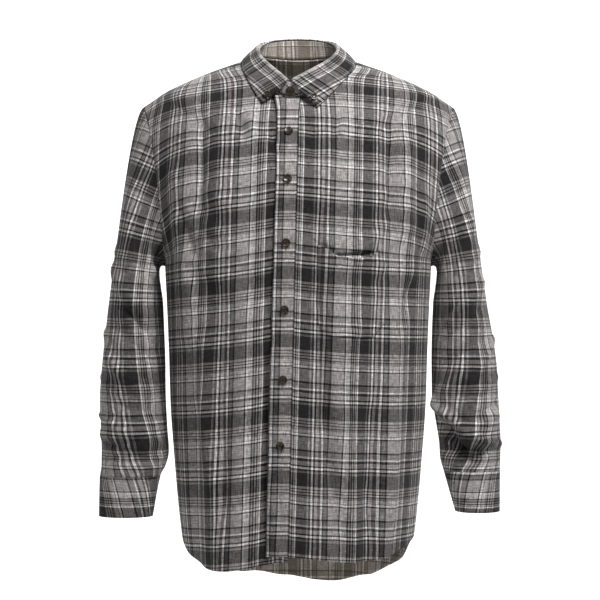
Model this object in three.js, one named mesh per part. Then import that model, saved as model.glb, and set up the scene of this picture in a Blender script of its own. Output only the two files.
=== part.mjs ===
// A long-sleeved flannel shirt, buttoned up, in the hollow form it has when it is worn.
// Millimetres. +X is the wearer's left, the front faces -Y and +Z is up.
// The origin is the middle of the neck opening, level with the tops of the shoulders.
import * as THREE from "three";

// Driving sizes
const clothWall = 1.6;
const stiffWall = 2.2;
const seamGap = 0.3;
const lapGap = 0.6;
const placketWidth = 34;
const placketOverCentre = 19;
const underlapPastCentre = 15;
const placketBelowNeck = 4;
const buttonRadius = 6.8;
const buttonHeight = 2.8;
const collarButtonRadius = 5.2;
const cuffButtonRadius = 6;
const cuffDepth = 63;
const cuffOverlap = 26;
const yokeSeamHeight = -112;
const pocketTop = -295;
const pocketBottom = -435;
const collarRollRadius = 2.6;

// Levels of the body: the height of a ring where it crosses the centre front
const underarmLevel = -335;
const shoulderLevel = -158;
const neckLevel = -62;

const clothColour = "#6f6b6c";
const trimColour = "#7b7677";
const buttonColour = "#3a2d22";

const vector = (x, y, z) => new THREE.Vector3(x, y, z);
const radians = THREE.MathUtils.degToRad;
const lerp = THREE.MathUtils.lerp;
const smooth = (value) => THREE.MathUtils.smoothstep(value, 0, 1);

// A column that a row leaves out is 0
function table(columns, rows) {
  return rows.map((row) => Object.fromEntries(columns.map((column, i) => [column, row[i] ?? 0])));
}

function spaced(from, to, cells) {
  return Array.from({ length: cells + 1 }, (_, i) => lerp(from, to, i / cells));
}

// Values of a table between its rows, on smooth curves through them
function rowAt(rows, key, at) {
  const last = rows.length - 2;
  const found = rows.findIndex((row, i) => i === last || at <= rows[i + 1][key]);
  const [low, high] = [rows[found], rows[found + 1]];
  const before = rows[Math.max(found - 1, 0)];
  const after = rows[Math.min(found + 2, rows.length - 1)];
  const span = high[key] - low[key];
  const t = (at - low[key]) / span;
  const blend = {};
  for (const column of Object.keys(low)) {
    const rise = high[column] - low[column];
    const turnsLow = before !== low && rise * (low[column] - before[column]) <= 0;
    const turnsHigh = after !== high && rise * (after[column] - high[column]) <= 0;
    const lowSlope = turnsLow ? 0 : (high[column] - before[column]) / (high[key] - before[key]);
    const highSlope = turnsHigh ? 0 : (after[column] - low[column]) / (after[key] - low[key]);
    blend[column] =
      low[column] * (2 * t ** 3 - 3 * t ** 2 + 1) +
      high[column] * (3 * t ** 2 - 2 * t ** 3) +
      lowSlope * span * (t ** 3 - 2 * t ** 2 + t) +
      highSlope * span * (t ** 3 - t ** 2);
  }
  return blend;
}

function bezier(start, startHandle, endHandle, end, t) {
  return vector(0, 0, 0)
    .addScaledVector(start, (1 - t) ** 3)
    .addScaledVector(startHandle, 3 * t * (1 - t) ** 2)
    .addScaledVector(endHandle, 3 * t ** 2 * (1 - t))
    .addScaledVector(end, t ** 3);
}

// Rings round the body, from below the hem to the neckline.
// Above the underarm a ring ends at the armhole, and above the shoulder point at the yoke's front seam.
// turn, slope and rise are the angles, in degrees, that set the direction in which it passes that edge.
// narrow makes the front half less full at its centre, and vee is 1 where that half comes to a point there.
const ringColumns = [
  "front", "frontY", "back", "backY", "edgeX", "edgeZ", "frontEdgeY", "backEdgeY",
  "turn", "slope", "rise", "narrow", "vee",
];
const shoulderPoint = [-158, -130, -88, 119, 247, -70, 4, 4, 52, 30, 0];
const bodyRings = table(ringColumns, [
  [-880, -146, -880, 152, 166, -880, 4, 4, 0, 0, 0],
  [-760, -151, -760, 150, 184, -760, 4, 4, 0, 0, 0],
  [-700, -151, -700, 146, 191, -700, 4, 4, 0, 0, 0],
  [-618, -149, -618, 140, 198, -618, 4, 4, 0, 0, 0],
  [-550, -147, -550, 136, 203, -550, 4, 4, 0, 0, 0],
  [-457, -147, -457, 134, 206, -457, 4, 4, 0, 0, 0],
  [-390, -149, -390, 138, 209, -386, 4, 4, 0, 0, 0],
  [-335, -151, -335, 143, 212, -325, 4, 4, 0, 0, 0],
  [-312, -152, -308, 145, 213, -296, -36, 46, 28, 0, 0],
  [-278, -151, -266, 147, 216, -245, -55, 66, 46, 0, 0],
  [-240, -149, -215, 147, 222, -190, -57, 68, 52, 5, 0],
  [-204, -143, -160, 141, 230, -135, -49, 58, 58, 15, 0],
  [-176, -136, -112, 128, 239, -95, -31, 38, 62, 25, 0],
  shoulderPoint,
]);
const shoulderRings = table(ringColumns, [
  shoulderPoint,
  [-132, -119, -58, 103, 207, -44, 2, 2, 22, 30, 4, 0.03],
  [-98, -102, -24, 84, 146, -19, -10, -10, 6, 24, 16, 0.15],
  [-62, -82, 12, 60, 82, -2, -20, -20, 0, 0, 28, 0.35],
]);
const ringAt = (level) => rowAt(level < shoulderLevel ? bodyRings : shoulderRings, "front", level);

const standTopRing = table(ringColumns, [[-39, -87, 45, 66, 63, 20, -4, -4, 0, 0, 22, 0.15, 1]])[0];

// The button line leans to the wearer's right as it goes down
function centreFrontX(level) {
  return -13 + 0.0235 * (Math.min(level, neckLevel) - neckLevel);
}

// How far the handles of a ring's curves reach, as a share of its width and depth
const ringFullness = 0.6;
const veeReach = { y: 0.13, z: 0.35 };

// A point on a ring: q runs from -1 at the right edge to 1 at the left edge, in the front or the back half
function ringPoint(ring, half, q) {
  const side = q < 0 ? -1 : 1;
  const isFront = half === "front";
  const facing = isFront ? 1 : -1;
  const centre = isFront
    ? vector(centreFrontX(ring.front), ring.frontY, ring.front)
    : vector(0, ring.backY, ring.back);
  const edge = vector(side * ring.edgeX, isFront ? ring.frontEdgeY : ring.backEdgeY, ring.edgeZ);
  const [turn, slope, rise] = [ring.turn, ring.slope, ring.rise].map(radians);
  const outward = vector(side * Math.cos(slope), 0, -Math.sin(slope));
  const through = vector(0, facing * Math.cos(rise), facing * Math.sin(rise));
  const pass = outward.multiplyScalar(Math.sin(turn)).addScaledVector(through, Math.cos(turn));
  const gap = edge.clone().sub(centre);
  const [narrow, vee] = isFront ? [ring.narrow, ring.vee] : [0, 0];
  const edgeReach = ringFullness * Math.hypot(gap.y, gap.z);
  const centreReach = vector(ringFullness - narrow, veeReach.y * vee, veeReach.z * vee).multiply(gap);
  const centreHandle = centre.clone().add(centreReach);
  const edgeHandle = edge.clone().addScaledVector(pass, -edgeReach);
  return bezier(centre, centreHandle, edgeHandle, edge, Math.abs(q));
}

// Share of a ring that a distance from its centre front takes up
function shareOf(distance, level) {
  const ring = ringAt(level);
  const width = Math.abs(Math.sign(distance) * ring.edgeX - centreFrontX(level));
  return distance / (3 * (ringFullness - ring.narrow) * width);
}

// Normal of a surface given by two parameters, pointing out of the garment
function normalOf(place, u, v, facing) {
  const step = 1e-3;
  const across = place(u + step, v).sub(place(u - step, v));
  const along = place(u, v + step).sub(place(u, v));
  return across.cross(along).normalize().multiplyScalar(facing);
}

// Folds fade out within a share of a panel's edge, and over a depth below the neckline
const foldFade = { edge: 0.14, belowNeck: 12, depth: 50 };

// Folds that show as soft ridges, or as valleys where the height is negative.
// Each runs between two points of the front view, or of the back seen through from the front.
const foldColumns = ["x0", "z0", "x1", "z1", "width", "height"];
const frontFolds = table(foldColumns, [
  [30, -262, 31, -380, 9, -7],
  [31, -380, 42, -560, 9, -8],
  [42, -560, 60, -720, 12, -9],
  [50, -300, 62, -560, 15, 6],
  [62, -560, 84, -780, 18, 8],
  [-52, -470, -60, -780, 9, -6],
  [-80, -430, -92, -790, 16, 7],
  [-148, -110, -150, -250, 12, -6],
  [-120, -120, -110, -260, 18, 5],
  [-190, -190, -168, -420, 13, 8],
  [-170, -250, -70, -400, 16, 5],
  [-140, -460, -120, -790, 17, 8],
  [-160, -560, -158, -790, 12, -6],
  [140, -110, 146, -300, 12, -6],
  [168, -150, 172, -330, 12, 7],
  [120, -330, 70, -470, 16, 5],
  [150, -420, 128, -780, 17, 8],
  [108, -560, 104, -790, 12, -6],
  [70, -110, 30, -200, 14, 4],
  [-70, -105, -45, -190, 14, 4],
]);
const backFolds = table(foldColumns, [
  [-150, -190, -110, -420, 18, 7],
  [150, -190, 115, -420, 18, 7],
  [-60, -300, -70, -840, 20, 8],
  [10, -420, 0, -850, 18, -7],
  [70, -360, 78, -840, 20, 8],
  [-130, -480, -135, -830, 16, -6],
  [135, -500, 130, -830, 16, -6],
  [-168, -420, -160, -800, 12, 6],
  [170, -420, 158, -800, 12, 6],
]);

function foldHeight(folds, x, z) {
  let height = 0;
  for (const fold of folds) {
    const length = Math.hypot(fold.x1 - fold.x0, fold.z1 - fold.z0);
    const along = ((x - fold.x0) * (fold.x1 - fold.x0) + (z - fold.z0) * (fold.z1 - fold.z0)) / length ** 2;
    const nearest = THREE.MathUtils.clamp(along, 0, 1);
    const distance = Math.hypot(
      x - lerp(fold.x0, fold.x1, nearest),
      (z - lerp(fold.z0, fold.z1, nearest)) / 2,
    );
    height += fold.height * Math.exp(-((distance / fold.width) ** 2));
  }
  return height;
}

function bodyPoint(half, q, level) {
  const facing = half === "front" ? 1 : -1;
  const place = (a, b) => ringPoint(ringAt(b), half, a);
  const base = place(q, level);
  const besideEdge = smooth((1 - Math.abs(q)) / foldFade.edge);
  const fade = besideEdge * smooth((neckLevel - foldFade.belowNeck - level) / foldFade.depth);
  const height = foldHeight(half === "front" ? frontFolds : backFolds, base.x, base.z) * fade;
  return base.addScaledVector(normalOf(place, q, level, facing), height);
}

function bodyVertex(half, q, level) {
  const facing = half === "front" ? 1 : -1;
  return {
    point: bodyPoint(half, q, level),
    normal: normalOf((a, b) => bodyPoint(half, a, b), q, level, facing),
  };
}

function movedOut(vertex, distance) {
  return { point: vertex.point.clone().addScaledVector(vertex.normal, distance), normal: vertex.normal };
}

// Faces of a grid of columns and rows; leans picks the diagonal of a cell
function gridFaces(columns, rows, closed, leans = () => true) {
  const faces = [];
  const index = (i, j) => (i % columns) * rows + j;
  const spans = closed ? columns : columns - 1;
  for (let i = 0; i < spans; i += 1) {
    for (let j = 0; j < rows - 1; j += 1) {
      const [a, b, c, d] = [index(i, j), index(i + 1, j), index(i + 1, j + 1), index(i, j + 1)];
      faces.push(...(leans(i, j) ? [[a, b, c], [a, c, d]] : [[a, b, d], [b, c, d]]));
    }
  }
  return faces;
}

// A closed wall between two offsets from a sheet of vertices
function wallGeometry(vertices, faces, from, to) {
  const [a, b, c] = faces[0].map((index) => vertices[index].point);
  const facing = b.clone().sub(a).cross(c.clone().sub(a)).dot(vertices[faces[0][0]].normal);
  const turned = facing < 0 ? faces.map((face) => [...face].reverse()) : faces;
  const used = [...new Set(turned.flat())];
  const slot = new Map(used.map((index, i) => [index, i]));
  const positions = [];
  for (const offset of [to, from]) {
    for (const index of used) {
      positions.push(...movedOut(vertices[index], offset).point.toArray());
    }
  }
  const inner = used.length;
  const edges = new Set(turned.flatMap(([p, q, r]) => [`${p} ${q}`, `${q} ${r}`, `${r} ${p}`]));
  const indices = [];
  for (const face of turned) {
    const [p, q, r] = face.map((index) => slot.get(index));
    indices.push(p, q, r, inner + r, inner + q, inner + p);
    for (const [from3, to3] of [[0, 1], [1, 2], [2, 0]]) {
      if (!edges.has(`${face[to3]} ${face[from3]}`)) {
        const [start, end] = [slot.get(face[from3]), slot.get(face[to3])];
        indices.push(end, start, inner + start, end, inner + start, inner + end);
      }
    }
  }
  const geometry = new THREE.BufferGeometry();
  geometry.setAttribute("position", new THREE.Float32BufferAttribute(positions, 3));
  geometry.setIndex(indices);
  return geometry;
}

const shirt = new THREE.Group();

function addPiece(name, geometry, colour, roughness = 0.95) {
  const material = new THREE.MeshStandardMaterial({ color: colour, roughness, metalness: 0 });
  const mesh = new THREE.Mesh(geometry, material);
  mesh.name = name;
  shirt.add(mesh);
  return mesh;
}

// Heights of the hem, from the centre of a panel to its side seam
const hemColumns = ["share", "left", "right", "back"];
const hem = table(hemColumns, [
  [0, -768, -779, -848],
  [0.15, -774, -787, -847],
  [0.35, -781, -794, -840],
  [0.55, -776, -792, -824],
  [0.75, -764, -778, -798],
  [0.9, -755, -760, -766],
  [1, -751, -752, -752],
]);

const hemLevel = (panel, q) => rowAt(hem, "share", Math.abs(q))[panel];

// Rows of the fronts: hem, pocket, underarm, pocket top, shoulder and neckline all fall on a row
const frontUpperLevels = [
  ...spaced(pocketBottom, underarmLevel, 5),
  ...spaced(underarmLevel, pocketTop, 2).slice(1),
  ...spaced(pocketTop, shoulderLevel, 7).slice(1),
  ...spaced(shoulderLevel, neckLevel, 5).slice(1),
];
const hemToPocketCells = 13;
const frontRows = hemToPocketCells + frontUpperLevels.length;

function frontLevel(panel, q, j) {
  return j < hemToPocketCells
    ? lerp(hemLevel(panel, q), pocketBottom, j / hemToPocketCells)
    : frontUpperLevels[j - hemToPocketCells];
}

// Keeps half the seam's gap between a panel and its edge
function edgeShare(half, level) {
  const ring = ringAt(level);
  const centreY = half === "front" ? ring.frontY : ring.backY;
  const edgeY = half === "front" ? ring.frontEdgeY : ring.backEdgeY;
  const centreZ = half === "front" ? ring.front : ring.back;
  const reach = ringFullness * Math.hypot(edgeY - centreY, ring.edgeZ - centreZ);
  return 1 - seamGap / 2 / (3 * reach);
}

function leftFrontShare(i, level) {
  const placketInner = placketWidth - placketOverCentre;
  const placketLines = [-placketOverCentre, -placketOverCentre / 2, 0, placketInner];
  const outer = [0.085, ...spaced(0.13, 0.45, 5), ...spaced(0.45, 1, 8).slice(1)];
  if (i < placketLines.length) {
    return shareOf(placketLines[i], level);
  }
  return outer[i - placketLines.length] * edgeShare("front", level);
}

const leftFrontColumns = 19;
const placketColumns = 4;
const pocketColumn = 5;
const pocketColumns = 6;

function panelVertices(columns, rows, place) {
  const vertices = [];
  for (let i = 0; i < columns; i += 1) {
    for (let j = 0; j < rows; j += 1) {
      vertices.push(place(i, j));
    }
  }
  return vertices;
}

// The hem's height depends on the share, and the share on the height, so each is found from a first guess
const guessedShare = (i) => 0.05 * i;

function leftFrontVertex(i, j) {
  const guess = frontLevel("left", guessedShare(i), j);
  const level = frontLevel("left", leftFrontShare(i, guess), j);
  return bodyVertex("front", leftFrontShare(i, level), level);
}

// The diagonals mirror about the pocket's middle, so that its cut corners follow them
const leftFrontLeans = (i) => i >= pocketColumn + (pocketColumns - 1) / 2;
const halfWall = clothWall / 2;
const trimFrom = halfWall + seamGap;
const trimTo = trimFrom + clothWall;

const leftFront = panelVertices(leftFrontColumns, frontRows, leftFrontVertex);
const leftFrontFaces = gridFaces(leftFrontColumns, frontRows, false, leftFrontLeans);

// The placket is the left front's first columns, moved out, and it ends below the neckline
function addLeftFront() {
  addPiece("front_left", wallGeometry(leftFront, leftFrontFaces, -halfWall, halfWall), clothColour);
  const placket = leftFront.map((vertex, index) => {
    const [i, j] = [Math.floor(index / frontRows), index % frontRows];
    const level = neckLevel - placketBelowNeck;
    return j === frontRows - 1 ? bodyVertex("front", leftFrontShare(i, level), level) : vertex;
  });
  const inPlacket = (face) => face.every((index) => index < placketColumns * frontRows);
  const placketFaces = leftFrontFaces.filter(inPlacket);
  addPiece("placket", wallGeometry(placket, placketFaces, trimFrom, trimTo), trimColour);
}

// The pocket is made from the left front's points, moved out, with its lower corners cut off
function addPocket() {
  const bottomRow = hemToPocketCells;
  const topRow = hemToPocketCells + frontUpperLevels.indexOf(pocketTop);
  const lastColumn = pocketColumn + pocketColumns - 1;
  const corners = [pocketColumn, lastColumn].map((i) => i * frontRows + bottomRow);
  const pocketFaces = leftFrontFaces.filter((face) => {
    const inside = face.every((index) => {
      const [i, j] = [Math.floor(index / frontRows), index % frontRows];
      return i >= pocketColumn && i <= lastColumn && j >= bottomRow && j <= topRow;
    });
    return inside && !face.some((index) => corners.includes(index));
  });
  addPiece("pocket", wallGeometry(leftFront, pocketFaces, trimFrom, trimTo), trimColour);
}

// Beyond the placket's edge the right front steps in, over this width, to lie under the left one
const underlapStep = 12;

function rightFrontVertex(i, j) {
  const underLines = [underlapPastCentre, -2, -placketOverCentre, -placketOverCentre - underlapStep];
  const outer = spaced(0.18, 1, 13);
  const share = (level) => i < underLines.length
    ? shareOf(underLines[i], level)
    : -outer[i - underLines.length] * edgeShare("front", level);
  const guess = frontLevel("right", guessedShare(i), j);
  const level = frontLevel("right", share(guess), j);
  const q = share(level);
  const vertex = bodyVertex("front", q, level);
  const step = clothWall + lapGap;
  const beyondEdge = (q - shareOf(-placketOverCentre, level)) / shareOf(underlapStep, level);
  return movedOut(vertex, -step * smooth(1 + beyondEdge));
}

const rightFrontColumns = 18;

function addRightFront() {
  const vertices = panelVertices(rightFrontColumns, frontRows, rightFrontVertex);
  const faces = gridFaces(rightFrontColumns, frontRows, false);
  addPiece("front_right", wallGeometry(vertices, faces, -halfWall, halfWall), clothColour);
}

// The yoke's lower seam runs level across the back
function yokeSeamLevel(q) {
  let [low, high] = [-330, -100];
  for (let step = 0; step < 30; step += 1) {
    const middle = (low + high) / 2;
    const ring = ringAt(middle);
    [low, high] = ringPoint(ring, "back", q).z < yokeSeamHeight ? [middle, high] : [low, middle];
  }
  return low;
}

const backColumns = 23;
const backHemCells = 15;
const backArmCells = 7;
const yokeArmCells = 2;
const yokeShoulderCells = 5;

function backLevel(q, j) {
  const seam = yokeSeamLevel(q) - seamGap / 2;
  return j <= backHemCells
    ? lerp(hemLevel("back", q), underarmLevel, j / backHemCells)
    : lerp(underarmLevel, seam, (j - backHemCells) / backArmCells);
}

function yokeLevel(q, j) {
  const seam = yokeSeamLevel(q) + seamGap / 2;
  return j <= yokeArmCells
    ? lerp(seam, shoulderLevel, j / yokeArmCells)
    : lerp(shoulderLevel, neckLevel, (j - yokeArmCells) / yokeShoulderCells);
}

function addBackAndYoke() {
  const place = (levelOf) => (i, j) => {
    const even = lerp(-1, 1, i / (backColumns - 1));
    const level = levelOf(even, j);
    return bodyVertex("back", even * edgeShare("back", level), level);
  };
  const backRows = backHemCells + backArmCells + 1;
  const back = panelVertices(backColumns, backRows, place(backLevel));
  const backFaces = gridFaces(backColumns, backRows, false);
  addPiece("back", wallGeometry(back, backFaces, -halfWall, halfWall), clothColour);
  const yokeRows = yokeArmCells + yokeShoulderCells + 1;
  const yoke = panelVertices(backColumns, yokeRows, place(yokeLevel));
  const yokeFaces = gridFaces(backColumns, yokeRows, false);
  addPiece("yoke", wallGeometry(yoke, yokeFaces, -halfWall, halfWall), clothColour);
}

// Sleeves: level sections below the armhole, from the biceps to the cuff's seam
const sleeveColumns = ["z", "outer", "inner", "centreY", "halfDepth"];
const sleeveSections = {
  right: table(sleeveColumns, [
    [-720, 314, 231, -36, 37],
    [-656, 313, 219, -31, 44],
    [-640, 311, 211, -28, 50],
    [-618, 311, 206, -24, 56],
    [-580, 313, 209, -17, 61],
    [-530, 315, 212, -9, 67],
    [-480, 312, 213, -3, 74],
    [-430, 307, 215, 1, 80],
    [-385, 302, 217, 3, 85],
    [-340, 296, 219, 4, 88],
  ]),
  left: table(sleeveColumns, [
    [-711, 317, 249, -44, 43],
    [-647, 318, 231, -38, 44],
    [-630, 319, 226, -35, 50],
    [-600, 320, 224, -29, 56],
    [-560, 319, 218, -20, 62],
    [-530, 318, 214, -12, 67],
    [-480, 316, 214, -5, 74],
    [-430, 309, 215, 0, 80],
    [-385, 301, 217, 3, 85],
    [-340, 296, 219, 4, 88],
  ]),
};
const capEnd = -385;
const capCells = 9;
const tubeCells = 17;

// Angles round a sleeve: 0 is its outer side, 90 the front, 180 the side next to the body
const sleeveFolds = {
  right: table(["a0", "z0", "a1", "z1", "width", "height"], [
    [60, -190, 110, -330, 14, -7],
    [95, -200, 135, -330, 14, 6],
    [30, -330, 120, -400, 13, 6],
    [60, -420, 130, -470, 12, -6],
    [40, -470, 120, -520, 13, 6],
    [70, -540, 140, -560, 11, -5],
    [30, -590, 110, -585, 12, 6],
    [50, -625, 140, -618, 8, -5],
    [230, -420, 300, -480, 15, 6],
    [220, -520, 310, -560, 13, -6],
    [240, -600, 320, -590, 12, 6],
  ]),
  left: table(["a0", "z0", "a1", "z1", "width", "height"], [
    [60, -200, 120, -330, 14, -7],
    [95, -190, 140, -320, 14, 6],
    [40, -350, 120, -410, 13, 6],
    [60, -440, 130, -480, 12, -6],
    [100, -500, 165, -548, 14, 9],
    [40, -560, 100, -590, 14, 8],
    [60, -612, 160, -612, 9, -8],
    [110, -570, 160, -585, 12, -9],
    [230, -420, 300, -480, 15, 6],
    [220, -520, 310, -560, 13, -6],
    [240, -600, 320, -590, 12, 6],
  ]),
};

function sleeveRingPoint(side, angle, z) {
  const section = rowAt(sleeveSections[side > 0 ? "left" : "right"], "z", z);
  const centreX = (section.outer + section.inner) / 2;
  const halfWidth = (section.outer - section.inner) / 2;
  const round = radians(angle);
  return vector(
    side * (centreX + halfWidth * Math.cos(round)),
    section.centreY - section.halfDepth * Math.sin(round),
    z,
  );
}

// The armhole's edge, from the underarm up the front, over the shoulder and down the back.
// across points from the panels into the sleeve, and crease is the angle at which the sleeve leaves them:
// none above creaseTop, and the most at the underarm.
const underarmCrease = 60;
const creaseTop = -200;

function armhole(side) {
  const frontStops = frontUpperLevels.filter((level) => level >= underarmLevel && level <= shoulderLevel);
  const yokeStops = [1, 0].map((j) => yokeLevel(side, j));
  const lastRow = backHemCells + backArmCells - 1;
  const backStops = spaced(lastRow, backHemCells + 1, backArmCells - 2).map((j) => backLevel(side, j));
  const ring = [
    ...frontStops.map((level) => bodyVertex("front", side, level)),
    ...[...yokeStops, ...backStops].map((level) => bodyVertex("back", side, level)),
  ];
  const count = ring.length;
  const middle = vector(0, 0, 0);
  ring.forEach((stop) => middle.addScaledVector(stop.point, 1 / count));
  const lengths = ring.map((stop, i) => stop.point.distanceTo(ring[(i + 1) % count].point));
  const sum = (list) => list.reduce((total, value) => total + value, 0);
  const topIndex = frontStops.length - 1;
  const frontLength = sum(lengths.slice(0, topIndex));
  const backLength = sum(lengths.slice(topIndex));
  return ring.map((stop, i) => {
    const along = ring[(i + 1) % count].point.clone().sub(ring[(i + count - 1) % count].point);
    const across = along.cross(stop.normal).normalize();
    const inward = Math.sign(middle.clone().sub(stop.point).dot(across));
    const angle = i <= topIndex
      ? 180 - 180 * sum(lengths.slice(0, i)) / frontLength
      : -180 * sum(lengths.slice(topIndex, i)) / backLength;
    const crease = underarmCrease * smooth((stop.point.z - creaseTop) / (ring[0].point.z - creaseTop));
    return { ...stop, across: across.multiplyScalar(inward), angle: (angle + 360) % 360, crease };
  });
}

function sleeveFoldHeight(folds, angle, z) {
  let height = 0;
  for (const fold of folds) {
    const [turn, drop] = [fold.a1 - fold.a0, fold.z1 - fold.z0];
    const along = ((angle - fold.a0) * turn + (z - fold.z0) * drop) / (turn ** 2 + drop ** 2);
    const nearest = THREE.MathUtils.clamp(along, 0, 1);
    const distance = Math.hypot(
      angle - lerp(fold.a0, fold.a1, nearest),
      z - lerp(fold.z0, fold.z1, nearest),
    );
    height += fold.height * Math.exp(-((distance / fold.width) ** 2));
  }
  return height;
}

// Normals of a closed grid of points, pointing away from the sleeve's middle
function tubeNormals(points, side) {
  const columns = points.length;
  return points.map((column, i) => column.map((_, j) => {
    const next = points[(i + 1) % columns][j];
    const before = points[(i + columns - 1) % columns][j];
    const above = column[Math.max(j - 1, 0)];
    const below = column[Math.min(j + 1, column.length - 1)];
    return next.clone().sub(before).cross(below.clone().sub(above)).normalize().multiplyScalar(-side);
  }));
}

// How far the handles of the cap's curves reach: more at the front and back, and more on the outer side
const capStart = { least: 22, atFront: 14 };
const capFinish = { middle: 78, outer: 52 };

function sleeveColumn(stop, side, endHeight) {
  const crease = radians(stop.crease);
  const leave = stop.across.clone()
    .multiplyScalar(Math.cos(crease))
    .addScaledVector(stop.normal, Math.sin(crease));
  const start = stop.point.clone()
    .addScaledVector(stop.across, seamGap + halfWall * Math.sin(crease));
  const round = radians(stop.angle);
  const end = sleeveRingPoint(side, stop.angle, capEnd);
  const upward = sleeveRingPoint(side, stop.angle, capEnd + 1).sub(end).normalize();
  const startReach = capStart.least + capStart.atFront * Math.abs(Math.sin(round));
  const startHandle = start.clone().addScaledVector(leave, startReach);
  const endHandle = end.clone()
    .addScaledVector(upward, capFinish.middle + capFinish.outer * Math.cos(round));
  const cap = spaced(0, 1, capCells).map((t) => bezier(start, startHandle, endHandle, end, t));
  const tube = spaced(capEnd, endHeight, tubeCells)
    .slice(1)
    .map((z) => sleeveRingPoint(side, stop.angle, z));
  return [...cap, ...tube];
}

const sleeveRows = capCells + tubeCells + 1;
const sleevePlacketRows = 6;
const placketAboveCuff = 0.12;
const seamAboveCuff = 0.5;
const placketAngle = 235;
const cuffAngle = 228;
const cuffTops = { right: -656, left: -647 };

function addSleeve(side) {
  const name = side > 0 ? "left" : "right";
  const ring = armhole(side);
  const endHeight = cuffTops[name] + seamAboveCuff;
  const points = ring.map((stop) => sleeveColumn(stop, side, endHeight));
  const flat = tubeNormals(points, side);
  points.forEach((column, i) => column.forEach((point, j) => {
    const fade = smooth((j - 1) / 5) * smooth((sleeveRows - 1 - j) / 2);
    const bodySide = 1 - smooth(1 - Math.abs(ring[i].angle - 180) / 45);
    const height = sleeveFoldHeight(sleeveFolds[name], ring[i].angle, point.z);
    point.addScaledVector(flat[i][j], height * fade * bodySide);
  }));
  const normals = tubeNormals(points, side);
  ring.forEach((stop, i) => {
    const crease = radians(stop.crease);
    normals[i][0] = stop.normal.clone().multiplyScalar(Math.cos(crease))
      .addScaledVector(stop.across, -Math.sin(crease));
  });
  const vertices = points.flatMap((column, i) => (
    column.map((point, j) => ({ point, normal: normals[i][j] }))
  ));
  const faces = gridFaces(ring.length, sleeveRows, true);
  addPiece(`sleeve_${name}`, wallGeometry(vertices, faces, -halfWall, halfWall), clothColour);
  const nearPlacket = ring.findIndex((stop, i) => i > ring.length / 2 && stop.angle < placketAngle);
  const placketFaces = faces.filter((face) => face.every((index) => {
    const [i, j] = [Math.floor(index / sleeveRows), index % sleeveRows];
    return (i === nearPlacket || i === nearPlacket + 1) && j >= sleeveRows - sleevePlacketRows;
  }));
  const placket = vertices.map(({ point, normal }, index) => {
    const isLast = index % sleeveRows === sleeveRows - 1;
    const raised = () => point.clone().lerp(vertices[index - 1].point, placketAboveCuff);
    return { point: isLast ? raised() : point, normal };
  });
  addPiece(`sleeve_placket_${name}`, wallGeometry(placket, placketFaces, trimFrom, trimTo), trimColour);
}

const halfStiff = stiffWall / 2;
const lapStep = (stiffWall + lapGap) / 2;

// A cuff is a strip round the wrist, and one end laps over the other where it buttons.
// lapSpread is the angle over which an end steps in or out.
const wristRadius = 42;
const lapSpread = 26;
const lapBegins = 330;
const cuffButtonShare = 0.45;

function cuffVertex(side, angle, z, lap) {
  const place = (a, b) => sleeveRingPoint(side, a, b);
  return movedOut({ point: place(angle, z), normal: normalOf(place, angle, z, -side) }, lap);
}

function addCuff(side) {
  const name = side > 0 ? "left" : "right";
  const top = cuffTops[name];
  const overlapAngle = cuffOverlap / wristRadius * THREE.MathUtils.RAD2DEG;
  const cells = 20;
  const rows = 4;
  const lapAt = (turned) => {
    const outOver = smooth((turned - lapBegins) / lapSpread);
    const inUnder = 1 - smooth((turned - overlapAngle) / lapSpread);
    return lapStep * (outOver - inUnder);
  };
  const place = (i, j) => {
    const turned = lerp(0, 360 + overlapAngle, i / cells);
    return cuffVertex(side, cuffAngle + turned, top - cuffDepth * j / (rows - 1), lapAt(turned));
  };
  const vertices = panelVertices(cells + 1, rows, place);
  const faces = gridFaces(cells + 1, rows, false);
  addPiece(`cuff_${name}`, wallGeometry(vertices, faces, -halfStiff, halfStiff), trimColour);
  const buttonAngle = cuffAngle + overlapAngle * cuffButtonShare;
  const centre = cuffVertex(side, buttonAngle, top - cuffDepth / 2, lapStep + halfStiff);
  addButton(`button_cuff_${name}`, movedOut(centre, lapGap), cuffButtonRadius);
}

function buttonGeometry(radius) {
  const profile = [
    [0, 0],
    [radius * 0.86, 0],
    [radius, buttonHeight * 0.4],
    [radius * 0.93, buttonHeight],
    [radius * 0.72, buttonHeight],
    [radius * 0.6, buttonHeight * 0.7],
    [0, buttonHeight * 0.7],
  ];
  return new THREE.LatheGeometry(profile.map(([x, y]) => new THREE.Vector2(x, y)), 12);
}

function addButton(name, seat, radius) {
  const button = addPiece(name, buttonGeometry(radius), buttonColour, 0.35);
  button.quaternion.setFromUnitVectors(vector(0, 1, 0), seat.normal);
  button.position.copy(seat.point);
}

// Rings round the neck: turned is 0 at the centre back and 1 at the centre front
function neckRingPoint(ring, turned) {
  const side = Math.sign(turned) || 1;
  const share = Math.abs(turned);
  if (share <= 0.5) {
    return ringPoint(ring, "back", side * 2 * share);
  }
  return ringPoint(ring, "front", side * (2 - 2 * share));
}

const neckRing = () => ringAt(neckLevel);

// A distance past the centre front at the neckline, as a share of half a ring round the neck
const pastCentre = (distance) => Math.abs(shareOf(distance, neckLevel)) / 2;

const standLift = 1.4;
const standRows = 4;
const standButtonShare = 0.42;
const neckCells = 30;

// The ends of the stand step in or out over a span of the ring, to lie one over the other.
// Past the centre front its top edge is shorter than its seam, by endTaper.
const endStep = { from: 0.68, span: 0.12 };
const endTaper = 0.45;

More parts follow.
